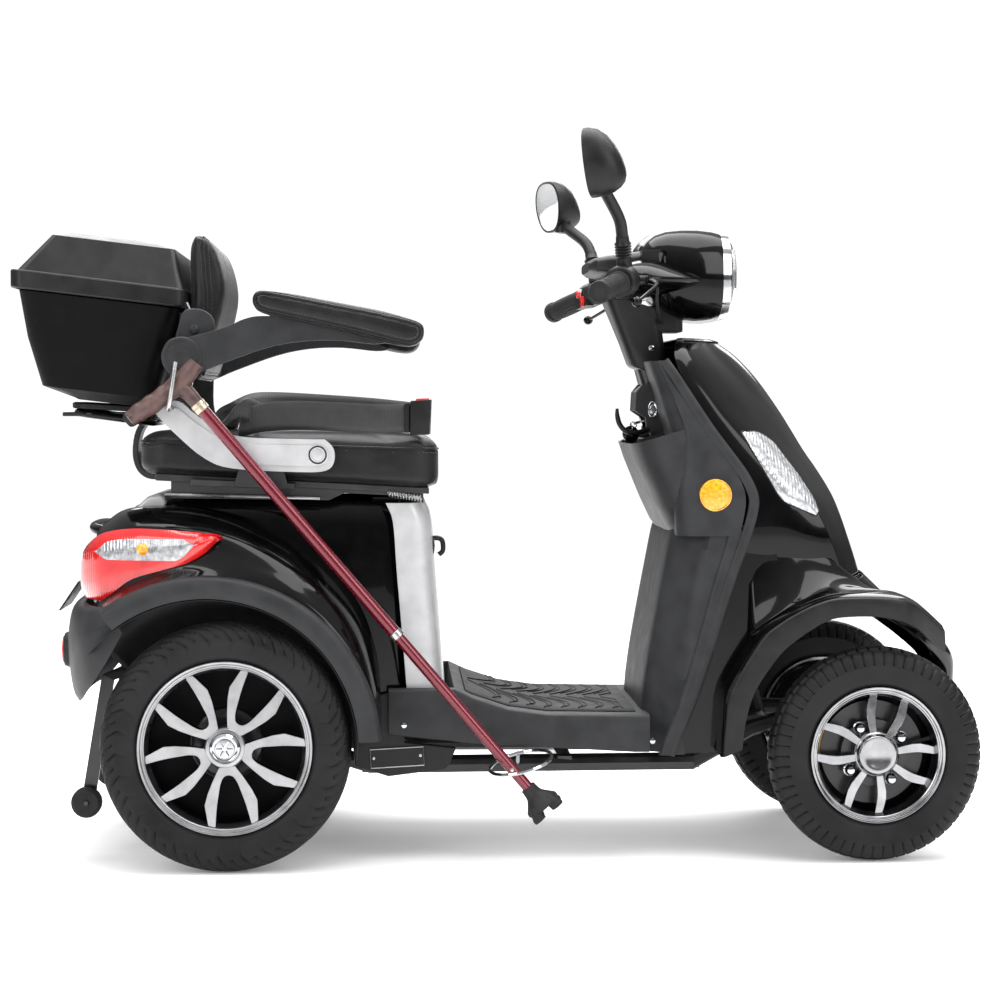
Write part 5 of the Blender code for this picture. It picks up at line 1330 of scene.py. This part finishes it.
def build_box():
    outer = [(-0.256, -0.142, 0.146, 0.7560, 0.028), (-0.262, -0.138, 0.150, 0.7585, 0.030),
             (-0.312, -0.122, 0.174, 0.772, 0.030), (-0.334, -0.100, 0.188, 0.850, 0.030),
             (-0.346, -0.076, 0.199, 0.926, 0.030)]
    inner = [(-0.3425, -0.0795, 0.1955, 0.926, 0.027), (-0.3305, -0.1035, 0.1845, 0.850, 0.027),
             (-0.3085, -0.1255, 0.1705, 0.776, 0.027), (-0.260, -0.142, 0.148, 0.763, 0.027)]
    piece("box_tub_cover", loft([box_level(*level) for level in outer + inner]), "tub", "seat",
          "box_tub", bevel=0.0012)
    outer = [(-0.3565, -0.0685, 0.2050, 0.9275, 0.022), (-0.3575, -0.0680, 0.2070, 0.9300, 0.022),
             (-0.3575, -0.0680, 0.2070, 0.9555, 0.022), (-0.3550, -0.0690, 0.2055, 0.9580, 0.021),
             (-0.3450, -0.0710, 0.2020, 0.9585, 0.014), (-0.2920, -0.0890, 0.1700, 1.0235, 0.010),
             (-0.2640, -0.1250, 0.1280, 1.0325, 0.010)]
    inner = [(-0.3530, -0.0720, 0.2015, 0.9275, 0.019), (-0.3530, -0.0720, 0.2015, 0.9510, 0.019),
             (-0.3400, -0.0750, 0.1980, 0.9560, 0.012), (-0.2900, -0.0930, 0.1670, 1.0195, 0.009),
             (-0.2640, -0.1270, 0.1260, 1.0285, 0.009)]
    lid = loft([box_level(*level) for level in [*reversed(inner), *outer]])
    piece("box_lid_cover", lid, "lid", "box_lid", "box_lid", sharp=16.0,
          bevel=0.0016, segments=3)

    lever = prism([(-0.0748, 0.8800), (-0.0690, 0.8790), (-0.0684, 0.8960), (-0.0695, 0.9100),
                   (-0.0748, 0.9100)], -0.022, 0.022)
    finger_lip = prism([(-0.0700, 0.8795), (-0.0672, 0.8810), (-0.0672, 0.8850), (-0.0700, 0.8860)],
                  -0.020, 0.020)
    piece("box_latch_slide", merge(lever, finger_lip), "satin", "box_latch", "box_latch",
          bevel=0.001)
    for side, label in SIDES:
        base = slab([(-0.0800, 0.876), (-0.0640, 0.873), (-0.0620, 0.902), (-0.0780, 0.905)],
                    side, 0.2035, 0.2155)
        arm = slab([(-0.0700, 0.880), (-0.0560, 0.884), (-0.0540, 0.900), (-0.0640, 0.9215),
                    (-0.0700, 0.9215)], side, 0.2055, 0.2185)
        wire = tube([(-0.066, side * 0.2200, 0.890), (-0.060, side * 0.2200, 0.908),
                     (-0.066, side * 0.2200, 0.922)], 0.0016, 8)
        piece(f"box_clasp_{label}", merge(base, arm, (wire, 1)), ("satin", "chrome"),
              "seat", bevel=0.0012)
    plate = loft([rounded(-0.270 + c, -0.135 - c, 0.115 - c, 0.028,
                          lambda x, z=z: z - 0.06 * (x + 0.2)) for z, c in
                  ((0.7445, 0.003), (0.7460, 0.0), (0.7535, 0.0), (0.7555, 0.004))])
    loop = rounded(-0.262, -0.135, 0.105, 0.030, lambda x: 0.7335 - 0.13 * (x + 0.2))
    piece("box_carrier", merge(plate, (tube(loop, 0.0068, 12, closed=True), 1)),
          ("satin", "gloss"), "seat", bevel=0.001)


def coil(start, end, radius, wire, turns):
    """Spring between two points."""
    start, end = Vector(start), Vector(end)
    place = axis_frame(end - start)
    length = (end - start).length
    path = [start + place.to_3x3() @ Vector((radius * math.cos(a), radius * math.sin(a),
                                             length * a / (2.0 * math.pi * turns)))
            for a in np.linspace(0.0, 2.0 * math.pi * turns, 12 * turns + 1)]
    return tube(path, wire, 6)


def build_seat_frame():
    plate = [(-0.120, 0.6300), (0.330, 0.6072), (0.330, 0.6172), (-0.120, 0.6420)]
    parts = [prism(plate, -0.212, 0.212)]
    for side in (-1, 1):
        lug = [(0.303, 0.590), (0.321, 0.590), (0.321, 0.612), (0.303, 0.612)]
        parts.append(slab(lug, side, 0.1535, 0.175))
        rail = [(-0.095, 0.600), (0.165, 0.5965), (0.190, 0.6085), (0.290, 0.6035),
                (0.290, 0.614), (-0.095, 0.634)]
        parts.append(slab(rail, side, 0.196, 0.206))
        arm = flat([(-0.104, 0.7500), (-0.080, 0.7180), (-0.040, 0.6840), (0.010, 0.6620),
                    (0.110, 0.6560), (0.120, 0.6700), (0.110, 0.6860), (0.020, 0.6900),
                    (-0.030, 0.7120), (-0.054, 0.7420), (-0.056, 0.8000), (-0.052, 0.8400),
                    (-0.071, 0.8560), (-0.090, 0.8400), (-0.092, 0.8000)], 4)
        parts.append(slab(arm, side, 0.2372, 0.2462))
        foot = [(-0.060, 0.6225), (0.110, 0.6160), (0.110, 0.6260), (-0.060, 0.6330)]
        parts.append(slab(foot, side, 0.206, 0.2420))
        web = [(0.010, 0.6210), (0.100, 0.6180), (0.086, 0.6700), (0.026, 0.6740)]
        parts.append(slab(web, side, 0.2385, 0.2440))
    post = spline([(-0.100, 0.0, 0.6330), (-0.150, 0.0, 0.6330), (-0.170, 0.0, 0.660),
                   (-0.166, 0.0, 0.7080), (-0.140, 0.0, 0.7385), (-0.107, 0.0, 0.765),
                   (-0.080, 0.0, 0.8000), (-0.0745, 0.0, 0.850)], 6)
    rows = []
    for i, point in enumerate(post):
        ahead = heading(post, i)
        out = Vector((-ahead.z, 0.0, ahead.x)) * 0.0048
        rows.append([point + out + Vector((0, -0.030, 0)), point + out + Vector((0, 0.030, 0)),
                     point - out + Vector((0, 0.030, 0)), point - out + Vector((0, -0.030, 0))])
    parts.append(loft(rows))
    cross_bar = [(-0.084, 0.822), (-0.0675, 0.822), (-0.0675, 0.842), (-0.084, 0.842)]
    rack = [(-0.285, 0.735), (-0.150, 0.735), (-0.150, 0.742), (-0.285, 0.742)]
    parts += [prism(cross_bar, -0.240, 0.240), prism(rack, -0.105, 0.105)]
    piece("seat_frame_weldment", merge(*parts), "steel", "seat", "seat_frame",
          bevel=0.0015)


def build_seat_details():
    parts = []
    for side in (-1, 1):
        parts.append(coil((0.262, side * 0.2125, 0.6085), (0.318, side * 0.2125, 0.6000), 0.0052,
                          0.0011, 12))
        parts.append(tube([(-0.105, side * 0.2105, 0.607), (0.020, side * 0.2115, 0.604),
                           (0.150, side * 0.2115, 0.600)], 0.0028, 8))
        parts.append(revolve([(0.0, 0.004), (0.006, 0.003), (0.007, -0.002), (0.0, -0.002)],
                             (0.058, side * 0.2405, 0.6262), (0, side, 0), 16))
    hook = [(-0.0770, -0.3145, 0.8230), (-0.0820, -0.3145, 0.7900), (-0.0868, -0.3145, 0.7575),
            (-0.0885, -0.3085, 0.7485), (-0.0885, -0.2950, 0.7465), (-0.0880, -0.2800, 0.7475),
            (-0.0870, -0.2640, 0.7490)]
    parts.append(tube(spline(hook, 6), 0.0038, 12))
    piece("seat_springs_and_hook", merge(*parts), "zinc", "seat")


# ---- steering ----------------------------------------------------------------------------------
BAR_OUTER = Vector((0.589, 0.295, 0.932))
BAR_INNER = Vector((0.645, 0.170, 0.958))


def bar_end(side):
    """Outer end of the handlebar and the direction in which it runs outwards."""
    outer = Vector((BAR_OUTER.x, side * BAR_OUTER.y, BAR_OUTER.z))
    inner = Vector((BAR_INNER.x, side * BAR_INNER.y, BAR_INNER.z))
    return outer, (outer - inner).normalized()


def column_point(height):
    """Point of the steering axis at a height."""
    rise = height - COLUMN_POINT.z
    return COLUMN_POINT + Vector((-math.tan(COLUMN_LEAN) * rise, 0.0, rise))


def oval(x, half, low, high, steps=48, power=0.7):
    """Squared-off oval across the vehicle."""
    loop = []
    for step in range(steps):
        angle = 2.0 * math.pi * step / steps
        wide, tall = (math.copysign(abs(v) ** power, v) for v in (math.cos(angle),
                                                                  math.sin(angle)))
        loop.append((x, half * wide, (low + high) / 2.0 + (high - low) / 2.0 * tall))
    return loop


def ovals(levels, **shape):
    """One oval for each level."""
    return [oval(*level, **shape) for level in levels]


def build_headlight():
    levels = [(0.6965, 0.070, 0.985, 1.030), (0.702, 0.080, 0.966, 1.038),
              (0.716, 0.094, 0.938, 1.049), (0.735, 0.104, 0.914, 1.056),
              (0.762, 0.1065, 0.901, 1.0595), (0.790, 0.106, 0.897, 1.060),
              (0.815, 0.102, 0.897, 1.058), (0.830, 0.0975, 0.899, 1.055)]
    piece("headlight_pod", loft(ovals(levels)), "gloss", "steering",
          "headlight_and_dash_housing", BAR_TURN, bevel=0.0015)
    rim = [(0.8300, 0.0955, 0.9005, 1.0535), (0.8440, 0.0930, 0.9025, 1.0515),
           (0.8460, 0.0905, 0.9045, 1.0490), (0.8440, 0.0865, 0.9080, 1.0455),
           (0.8310, 0.0820, 0.9120, 1.0410)]
    bowl = [(0.8308, 0.0830, 0.9115, 1.0420), (0.8220, 0.0700, 0.9220, 1.0310),
            (0.8130, 0.0420, 0.9450, 1.0080), (0.8100, 0.0160, 0.9650, 0.9880)]
    bulb = revolve([(0.0115, -0.004), (0.0115, 0.004), (0.0075, 0.011), (0.0, 0.013)],
                   (0.8105, 0.0, 0.9765), (1, 0, 0), 24)
    piece("headlight_bezel", merge(loft(ovals(rim), caps=False), loft(ovals(bowl)), bulb),
          "chrome", "steering", turn=BAR_TURN)
    glass = [(0.8435, 0.0870, 0.9076, 1.0459), (0.8500, 0.0840, 0.9106, 1.0428),
             (0.8560, 0.0740, 0.9190, 1.0340), (0.8605, 0.0560, 0.9340, 1.0190),
             (0.8630, 0.0330, 0.9530, 1.0000), (0.8640, 0.0080, 0.9700, 0.9830)]
    piece("headlight_glass", loft(ovals(glass)), "glass", "steering",
          "headlight_lens", BAR_TURN)
    hood = [(0.6050, 0.050, 0.982, 0.999), (0.6150, 0.074, 0.9765, 1.006),
            (0.6350, 0.082, 0.9740, 1.0105), (0.6700, 0.083, 0.9730, 1.0150),
            (0.7050, 0.083, 0.9730, 1.0200), (0.7250, 0.078, 0.9730, 1.0210)]
    panel = [(0.6990, 1.0240), (0.7080, 1.0255), (0.7400, 1.0480), (0.7330, 1.0495)]
    hood_front = [(0.6880, 0.9950), (0.7280, 0.9980), (0.7220, 1.0170), (0.6900, 1.0160)]
    cover = merge(loft(ovals(hood, steps=48, power=0.55)), prism(hood_front, -0.094, 0.094))
    piece("dash_hood", cover, "satin", "steering", turn=BAR_TURN, bevel=0.003, segments=3)
    piece("instrument_face", prism(panel, -0.062, 0.062), "silver", "steering", turn=BAR_TURN,
          bevel=0.0015)


def build_column_cover():
    lean = math.tan(COLUMN_LEAN)
    sleeve = []
    for z, rear, front, half in ((0.811, 0.030, 0.036, 0.030), (0.815, 0.0325, 0.039, 0.0325),
                                 (0.850, 0.0345, 0.043, 0.0345), (0.900, 0.0400, 0.050, 0.0400),
                                 (0.934, 0.0440, 0.056, 0.0430)):
        x = COLUMN_POINT.x - lean * (z - COLUMN_POINT.z)
        sleeve.append([(px, py, z + 0.30 * (x - px)) for px, py, _ in
                       rounded(x - rear, x + front, half, 0.020, lambda x: 0.0, 6)])
    screws = [bolt((0.7150, side * 0.0350, 0.852), (0, side, 0), 0.0062, 0.0045)
              for side in (-1, 1)]
    piece("column_sleeve", merge(loft(sleeve), *[(screw, 1) for screw in screws]),
          ("satin", "chrome"), "steering", turn=BAR_TURN, bevel=0.0015)
    neck = loft([rounded(0.712, 0.772, 0.036, 0.014, lambda x, z=z: z) for z in
                 (0.880, 0.884, 0.925)])
    piece("headlight_neck", neck, "satin", "steering", turn=BAR_TURN, bevel=0.002)


def build_handlebar():
    shape = flat([(0.632, 0.958), (0.642, 0.980), (0.672, 0.9985), (0.715, 1.001),
                  (0.765, 0.987), (0.806, 0.966), (0.775, 0.950), (0.715, 0.938),
                  (0.660, 0.934), (0.638, 0.940)], 5)
    centre_x, centre_z = 0.668, 0.962
    half = [(-0.158, 0.34, -0.022), (-0.150, 0.52, -0.018), (-0.128, 0.74, -0.010),
            (-0.104, 0.92, -0.003), (-0.060, 1.0, 0.0)]
    loops = []
    for y, share, back in half + [(-y, share, back) for y, share, back in reversed(half)]:
        loops.append([(centre_x + back + (x - centre_x) * share, y,
                       centre_z + (z - centre_z) * share) for x, z in shape])
    piece("bar_fairing", loft(loops), "gloss", "steering", turn=BAR_TURN, bevel=0.001)
    build_column_cover()
    route = [(BAR_OUTER.x, -BAR_OUTER.y, BAR_OUTER.z), (BAR_INNER.x, -BAR_INNER.y, BAR_INNER.z),
             (0.668, -0.090, 0.962), (0.672, 0.0, 0.962)]
    route = both(route)
    bars = [Vector(route[0]), *spline(route[1:-1], 6), Vector(route[-1])]
    stem = revolve([(0.0, 0.0), (0.0165, 0.0), (0.0165, 0.758), (0.0, 0.758)],
                   column_point(0.232), COLUMN_AXIS, 32)
    piece("bars_and_stem", merge(tube(bars, 0.011, 20), stem), "steel", "steering",
          "handlebar_and_stem", BAR_TURN)


def build_grip(side, label):
    outer, along = bar_end(side)
    start = outer - along * 0.112
    place = Matrix.Translation(start) @ axis_frame(along)
    bm = bmesh.new()
    rings = []
    profile = [(0.0114, 0.0), (0.0198, 0.0), (0.0200, 0.0045), (0.0170, 0.0075)]
    profile += [(0.0158 + 0.0010 * math.sin(math.pi * i / 60), 0.008 + 0.100 * i / 60)
                for i in range(61)]
    profile += [(0.0182, 0.1095), (0.0188, 0.1120), (0.0188, 0.1190), (0.0178, 0.1212),
                (0.0150, 0.1215), (0.0145, 0.1200), (0.0114, 0.1195)]
    around = 72
    for radius, reach in profile:
        knurled = 0.0085 < reach < 0.1075
        ring = []
        for step in range(around):
            angle = 2.0 * math.pi * step / around
            lift = 0.0
            if knurled:
                first = abs(math.sin(9.0 * angle + reach * 620.0))
                second = abs(math.sin(9.0 * angle - reach * 620.0))
                lift = 0.0013 * min(first, second, 0.6) / 0.6
            r = radius + lift
            ring.append(bm.verts.new(place @ Vector((r * math.cos(angle), r * math.sin(angle),
                                                     reach))))
        rings.append(ring)
    quads(bm, rings, close_rows=True)
    if side < 0:
        name, body, node = "throttle_cover", "throttle", "throttle_grip"
    else:
        name, body, node = "left_grip_cover", "steering", "grip_left"
    plug = revolve([(0.0145, 0.1160), (0.0145, 0.1185), (0.0, 0.1190)], start, along, 40)
    piece(name, merge(bm, plug), "rubber", body, node, BAR_TURN)

    inner = outer - along * 0.1525
    drum = 0.0270 if side < 0 else 0.0225
    housing = revolve([(0.0125, -0.001), (drum - 0.003, 0.0), (drum, 0.003), (drum, 0.0170),
                       (drum - 0.0008, 0.0180), (drum, 0.0190), (drum, 0.0335),
                       (drum - 0.003, 0.0365), (0.0125, 0.0372)], inner, along, 48)
    parts = [housing]
    if side > 0:
        for k, (rise, colour, size) in enumerate(((-0.012, 1, 0.0065), (0.002, 2, 0.0070),
                                                  (-0.020, 1, 0.0045))):
            spot = inner + along * (0.010 + 0.009 * (k % 2)) + Vector((-0.0205, 0.0, rise))
            loops = [[spot + Vector((depth, u, v)) for u, v in
                      ((-size * 0.8, -size), (size * 0.8, -size), (size * 0.8, size),
                       (-size * 0.8, size))] for depth in (0.0, -0.0062)]
            parts.append((loft(loops), colour))
        tray = loft([[inner + along * s + Vector((depth, 0.0, rise)) for s, rise in
                      ((0.000, -0.024), (0.036, -0.024), (0.036, 0.010), (0.000, 0.010))]
                     for depth in (-0.008, -0.0225)])
        parts.append(tray)
    hinge = outer - along * 0.150 + Vector((0.040, 0.0, 0.0))
    perch = tube([inner + along * 0.012 + Vector((0.010, 0.0, 0.0)),
                  hinge - Vector((0.004, 0.0, 0.0)) - along * 0.006], [0.011, 0.0075], 14)
    parts.append(perch)
    piece(f"switch_housing_{label}", merge(*parts), ("satin", "button", "white"), "steering",
          turn=BAR_TURN, bevel=0.0012)

    ball = outer - along * 0.012 + Vector((0.056, 0.0, -0.018))
    path = spline([hinge, hinge + along * 0.025 + Vector((0.020, 0.0, -0.004)),
                   hinge + along * 0.080 + Vector((0.018, 0.0, -0.012)), ball], 8)
    radii = [0.0062 - 0.0020 * math.sin(math.pi * 0.5 * i / (len(path) - 1))
             for i in range(len(path))]
    knob = revolve([(0.0, -0.0085), (0.0045, -0.0075), (0.0078, -0.004), (0.0085, 0.0),
                    (0.0078, 0.004), (0.0045, 0.0075), (0.0, 0.0085)], ball, along, 24)
    pin = revolve([(0.0, 0.0065), (0.0060, 0.0060), (0.0065, 0.0), (0.0065, -0.006), (0.0, -0.006)],
                  hinge, (0, 0, 1), 20)
    piece(f"lever_blade_{label}", merge(tube(path, radii, 14, squash=0.72), knob, pin), "gloss",
          f"brake_lever_{label}", f"brake_lever_{label}", BAR_TURN)


def build_mirror(side, label):
    foot = Vector((0.648, side * 0.165, 0.9800))
    centre = Vector((0.582, side * 0.272, 1.143 if side < 0 else 1.124))
    tall, wide = (0.057, 0.040) if side < 0 else (0.047, 0.049)
    lean = Vector((-0.008, side * 0.024, 0.058)).normalized()
    bellows = [(0.0145, -0.004), (0.0135, 0.004), (0.0120, 0.018)]
    for i in range(5):
        bellows += [(0.0118, 0.0200 + 0.005 * i), (0.0145, 0.0225 + 0.005 * i)]
    bellows += [(0.0115, 0.046), (0.0108, 0.056), (0.0, 0.057)]
    foot_part = revolve(bellows, foot, lean, 32)
    elbow = foot + lean * 0.056
    joint = Vector((0.598, side * 0.250, centre.z - 0.036))
    stem = tube(spline([elbow - lean * 0.006, elbow, elbow.lerp(joint, 0.30)
                        + Vector((0.004, 0.0, 0.006)), joint], 6), 0.0100, 20)
    facing = Vector((-1.0, -0.35 * side, -0.12)).normalized()
    tilt = axis_frame(facing)

    def ring(depth, sideways, high, drop):
        loop = []
        for step in range(48):
            angle = 2.0 * math.pi * step / 48
            c, s = (math.copysign(abs(v) ** 0.78, v) for v in (math.cos(angle), math.sin(angle)))
            narrow = 1.0 - 0.14 * max(-s, 0.0)
            loop.append(centre + tilt @ Vector((wide * sideways * c * narrow,
                                                  tall * high * s - drop, depth)))
        return loop

    shell = loft([ring(0.0105, 0.90, 0.92, 0.0), ring(0.0115, 0.95, 0.96, 0.0),
                  ring(0.0100, 1.00, 1.00, 0.0), ring(0.0020, 1.00, 1.00, 0.0),
                  ring(-0.0130, 0.94, 0.95, 0.002), ring(-0.0270, 0.80, 0.81, 0.006),
                  ring(-0.0380, 0.60, 0.60, 0.012), ring(-0.0460, 0.38, 0.36, 0.018),
                  ring(-0.0495, 0.15, 0.13, 0.022)], caps=True)
    pane = loft([ring(0.0106, 0.895, 0.915, 0.0), ring(0.0111, 0.875, 0.895, 0.0)])
    socket = tube([joint - Vector((0.002, 0.0, 0.014)), joint + Vector((0.0, 0.0, 0.004)),
                   centre + tilt @ Vector((0.0, -tall * 0.55, -0.018))],
                  [0.0118, 0.0145, 0.0160], 24)
    piece(f"mirror_cover_{label}", merge(foot_part, stem, (shell, 1), socket,
                                         (pane, 2)), ("satin", "satin", "mirror"),
          f"mirror_{label}", f"mirror_{label}", BAR_TURN)


def build_controls():
    outer, along = bar_end(1)
    centre = outer - along * 0.134 + Vector((-0.0245, 0.0, 0.0))
    piece("horn_cap", revolve([(0.0, -0.001), (0.0072, -0.001), (0.0072, 0.0042), (0.0060, 0.0056),
                               (0.0, 0.0062)], centre, (-1, 0, 0), 28), "button", "horn_button",
          "horn_button", BAR_TURN)
    for side, label in SIDES:
        outer, along = bar_end(side)
        start = outer - along * 0.156 + Vector((0.034, 0.0, -0.004))
        cable = spline([start, start + Vector((0.020, -side * 0.012, -0.006)),
                        (0.712, side * 0.112, 0.930), (0.722, side * 0.070, 0.905),
                        (0.735, side * 0.030, 0.895)], 8)
        piece(f"brake_cable_{label}", tube(cable, 0.0026, 10), "rubber", "steering",
              turn=BAR_TURN)


# ---- key and its lock --------------------------------------------------------------------------
def build_key():
    centre = column_point(0.735) + Vector((-0.0305, 0.0, -0.009))
    out = Vector((-math.cos(COLUMN_LEAN), 0.0, -math.sin(COLUMN_LEAN)))
    down = Vector((0.0, 0.0, -1.0))
    collar = revolve([(0.0, -0.002), (0.0100, -0.002), (0.0095, 0.0030), (0.0060, 0.0045),
                      (0.0, 0.0045)], centre, out, 28)
    blade = tube([centre, centre + out * 0.016], 0.0030, 10, squash=0.5)
    links = []
    for k in range(2):
        middle = centre + out * (0.0165 + 0.0020 * k) + down * (0.002 + 0.0040 * k)
        flat_way = Vector((0.0, 1.0, 0.0)) if k % 2 else Vector((0.35, 0.0, 1.0)).normalized()
        other = Vector((0.3, 0.0, -1.0)).normalized() if k % 2 else Vector((1.0, 0.0, -0.35))
        links.append(tube([middle + flat_way * 0.0052 * math.cos(a) + other * 0.0052 * math.sin(a)
                           for a in np.linspace(0.0, 2.0 * math.pi, 20, endpoint=False)], 0.0010, 6,
                          closed=True))
    fob = centre + out * 0.0215 + down * 0.0165
    disc = revolve([(0.0, -0.0035), (0.0125, -0.0035), (0.0145, -0.0020), (0.0145, 0.0020),
                    (0.0125, 0.0035), (0.0, 0.0035)], fob, (0.15, -1.0, 0.0), 36)
    stud = revolve([(0.0052, 0.0030), (0.0050, 0.0046), (0.0, 0.0050)], fob, (0.15, -1.0, 0.0), 24)
    piece("key_and_fob", merge(collar, blade, (disc, 1), stud, *links), ("chrome", "gloss"),
          "key", "ignition_key")
    shape = [(0.7090, 0.7060), (0.7075, 0.7200), (0.7060, 0.7320), (0.6880, 0.7440),
             (0.6900, 0.7760), (0.7010, 0.7900), (0.7440, 0.7900), (0.7620, 0.7060)]
    cheeks = [slab(shape, side, 0.0300, 0.0480) for side in (-1, 1)]
    bridge = prism([(0.7090, 0.7440), (0.6885, 0.7440), (0.6905, 0.7760), (0.7015, 0.7870),
                    (0.7030, 0.7870), (0.7100, 0.7640)], -0.030, 0.030)
    lock = Vector((0.7180, -0.0482, 0.7460))
    badge = revolve([(0.0, 0.0030), (0.0060, 0.0028), (0.0068, 0.0012), (0.0100, 0.0030),
                     (0.0118, 0.0022), (0.0122, -0.001), (0.0, -0.001)], lock, (0, -1, 0), 36)
    bmesh.ops.scale(badge, vec=(0.72, 1.0, 1.25), verts=badge.verts[:],
                    space=Matrix.Translation(-lock))
    piece("lock_housing", merge(*cheeks, bridge, (badge, 1)),
          ("grey", "chrome"), "chassis", bevel=0.0025)
    hook = spline([(0.6560, -0.055, 0.748), (0.6565, -0.055, 0.735), (0.6610, -0.055, 0.720),
                   (0.6720, -0.055, 0.709), (0.6900, -0.052, 0.7065), (0.7110, -0.045, 0.712)], 6)
    radii = [0.0026 + 0.0018 * min(1.0, i / 8.0) for i in range(len(hook))]
    piece("shopping_hook", tube(hook, radii, 14), "satin", "chassis")


# ---- walking cane ------------------------------------------------------------------------------
CANE_Y = -0.293


def build_cane():
    top = Vector((-0.0445, CANE_Y, 0.7565))
    low = Vector((0.492, CANE_Y, 0.128))
    along = (low - top).normalized()
    handle = spline([(-0.152, CANE_Y, 0.731), (-0.138, CANE_Y, 0.742), (-0.118, CANE_Y, 0.7545),
                     (-0.098, CANE_Y, 0.7690), (-0.078, CANE_Y, 0.7850),
                     (-0.060, CANE_Y, 0.8030), (-0.0455, CANE_Y, 0.8220)], 6)
    radii = [0.0128, 0.0150, 0.0160, 0.0158, 0.0166, 0.0150, 0.0128]
    steps = np.linspace(0.0, len(radii) - 1.0, len(handle))
    swells = [float(np.interp(s, range(len(radii)), radii)) + 0.0007 * math.cos(s * 6.2)
              * (1.0 if s < 3.6 else 0.0) for s in steps]
    neck = spline([(-0.086, CANE_Y, 0.7840), (-0.073, CANE_Y, 0.7820), (-0.060, CANE_Y, 0.7740),
                   top], 5)
    thick = np.linspace(0.0150, 0.0112, len(neck))
    first = (handle[0] - handle[1]).normalized()
    caps = [revolve([(0.0130, -0.001), (0.0128, 0.003), (0.0095, 0.0075), (0.0, 0.0090)],
                    handle[0], first, 28)]
    band = revolve([(0.0132, -0.0035), (0.0134, 0.0), (0.0130, 0.0005)], handle[0], first, 28)
    collar = revolve([(0.0108, -0.001), (0.0122, 0.0), (0.0124, 0.0050), (0.0117, 0.0058),
                      (0.0117, 0.0072), (0.0124, 0.0080), (0.0122, 0.0150), (0.0108, 0.0160)],
                     top, along, 32)
    joint = (Vector((0.276, CANE_Y, 0.382)) - top).dot(along)
    whole = (low - top).length
    shaft = revolve([(0.0, 0.014), (0.0105, 0.014), (0.0105, joint), (0.0094, joint + 0.001),
                     (0.0092, whole), (0.0, whole)], top, along, 32)
    ring = revolve([(0.0106, -0.006), (0.0116, -0.005), (0.0116, 0.005), (0.0096, 0.0065)],
                   top + along * joint, along, 32)
    button = bolt(Vector((0.463, CANE_Y - 0.0088, 0.1615)), (0, -1, 0), 0.0035, 0.003)
    base = revolve([(0.0, -0.005), (0.0125, -0.005), (0.0135, 0.006), (0.0150, 0.012),
                    (0.0230, 0.022), (0.0290, 0.029), (0.0300, 0.034), (0.0280, 0.037),
                    (0.0, 0.0375)], low, along, 40)
    feet = []
    side_way = Vector((0.0, 1.0, 0.0))
    up_way = along.cross(side_way).normalized()
    for u, v in ((1, 1), (1, -1), (-1, 1), (-1, -1)):
        away = (side_way * u + up_way * v).normalized()
        start = low + along * 0.026 + away * 0.018
        end = low + along * 0.0455 + away * 0.0265
        feet.append(tube([start, start.lerp(end, 0.5), end, end + along * 0.0022],
                         [0.0090, 0.0100, 0.0112, 0.0100], 20))
    piece("cane_cover", merge((tube(handle, swells, 28), 0), (tube(neck, list(thick), 24), 0),
                              (caps[0], 1), (band, 2), (collar, 3), (shaft, 4), (ring, 2),
                              (button, 2), (base, 1), *[(foot, 1) for foot in feet]),
          ("wood", "rubber", "zinc", "brass", "enamel"), "cane", "walking_cane")


build_rear_body()
build_rear_trim()
build_deck()
build_leg_shield()
build_bin()
build_cowl()
build_nose()
build_cushions()
build_belt()
build_box()
build_seat_frame()
build_seat_details()
build_headlight()
build_handlebar()
build_controls()
build_key()
build_cane()
for side, label in SIDES:
    build_arm(side, label)
    build_grip(side, label)
    build_mirror(side, label)
    build_rear_wing(side, label)
    build_tail_light(side, label)
    build_fender(side, label)


# ---- finishes of the CAD nodes that stay --------------------------------------------------------
KEEP = {"frame_steel": "steel", "gloss_black": "gloss", "matt_grey": "grey",
        "black_plastic": "satin", "black_vinyl": "vinyl", "webbing": "web", "tyre": "tyre",
        "soft_rubber": "rubber", "alloy": "polished", "silver": "silver", "chrome": "chrome",
        "red_lens": "red", "clear_lens": "glass", "red_button": "button",
        "cane_enamel": "enamel"}
SLOT_OF = {s["node"]: s["material_slot"] for s in frame["record"]["subparts"]}
for node_name, node in frame["nodes"].items():
    node.data.materials.clear()
    node.data.materials.append(M[KEEP[SLOT_OF[node_name]]])
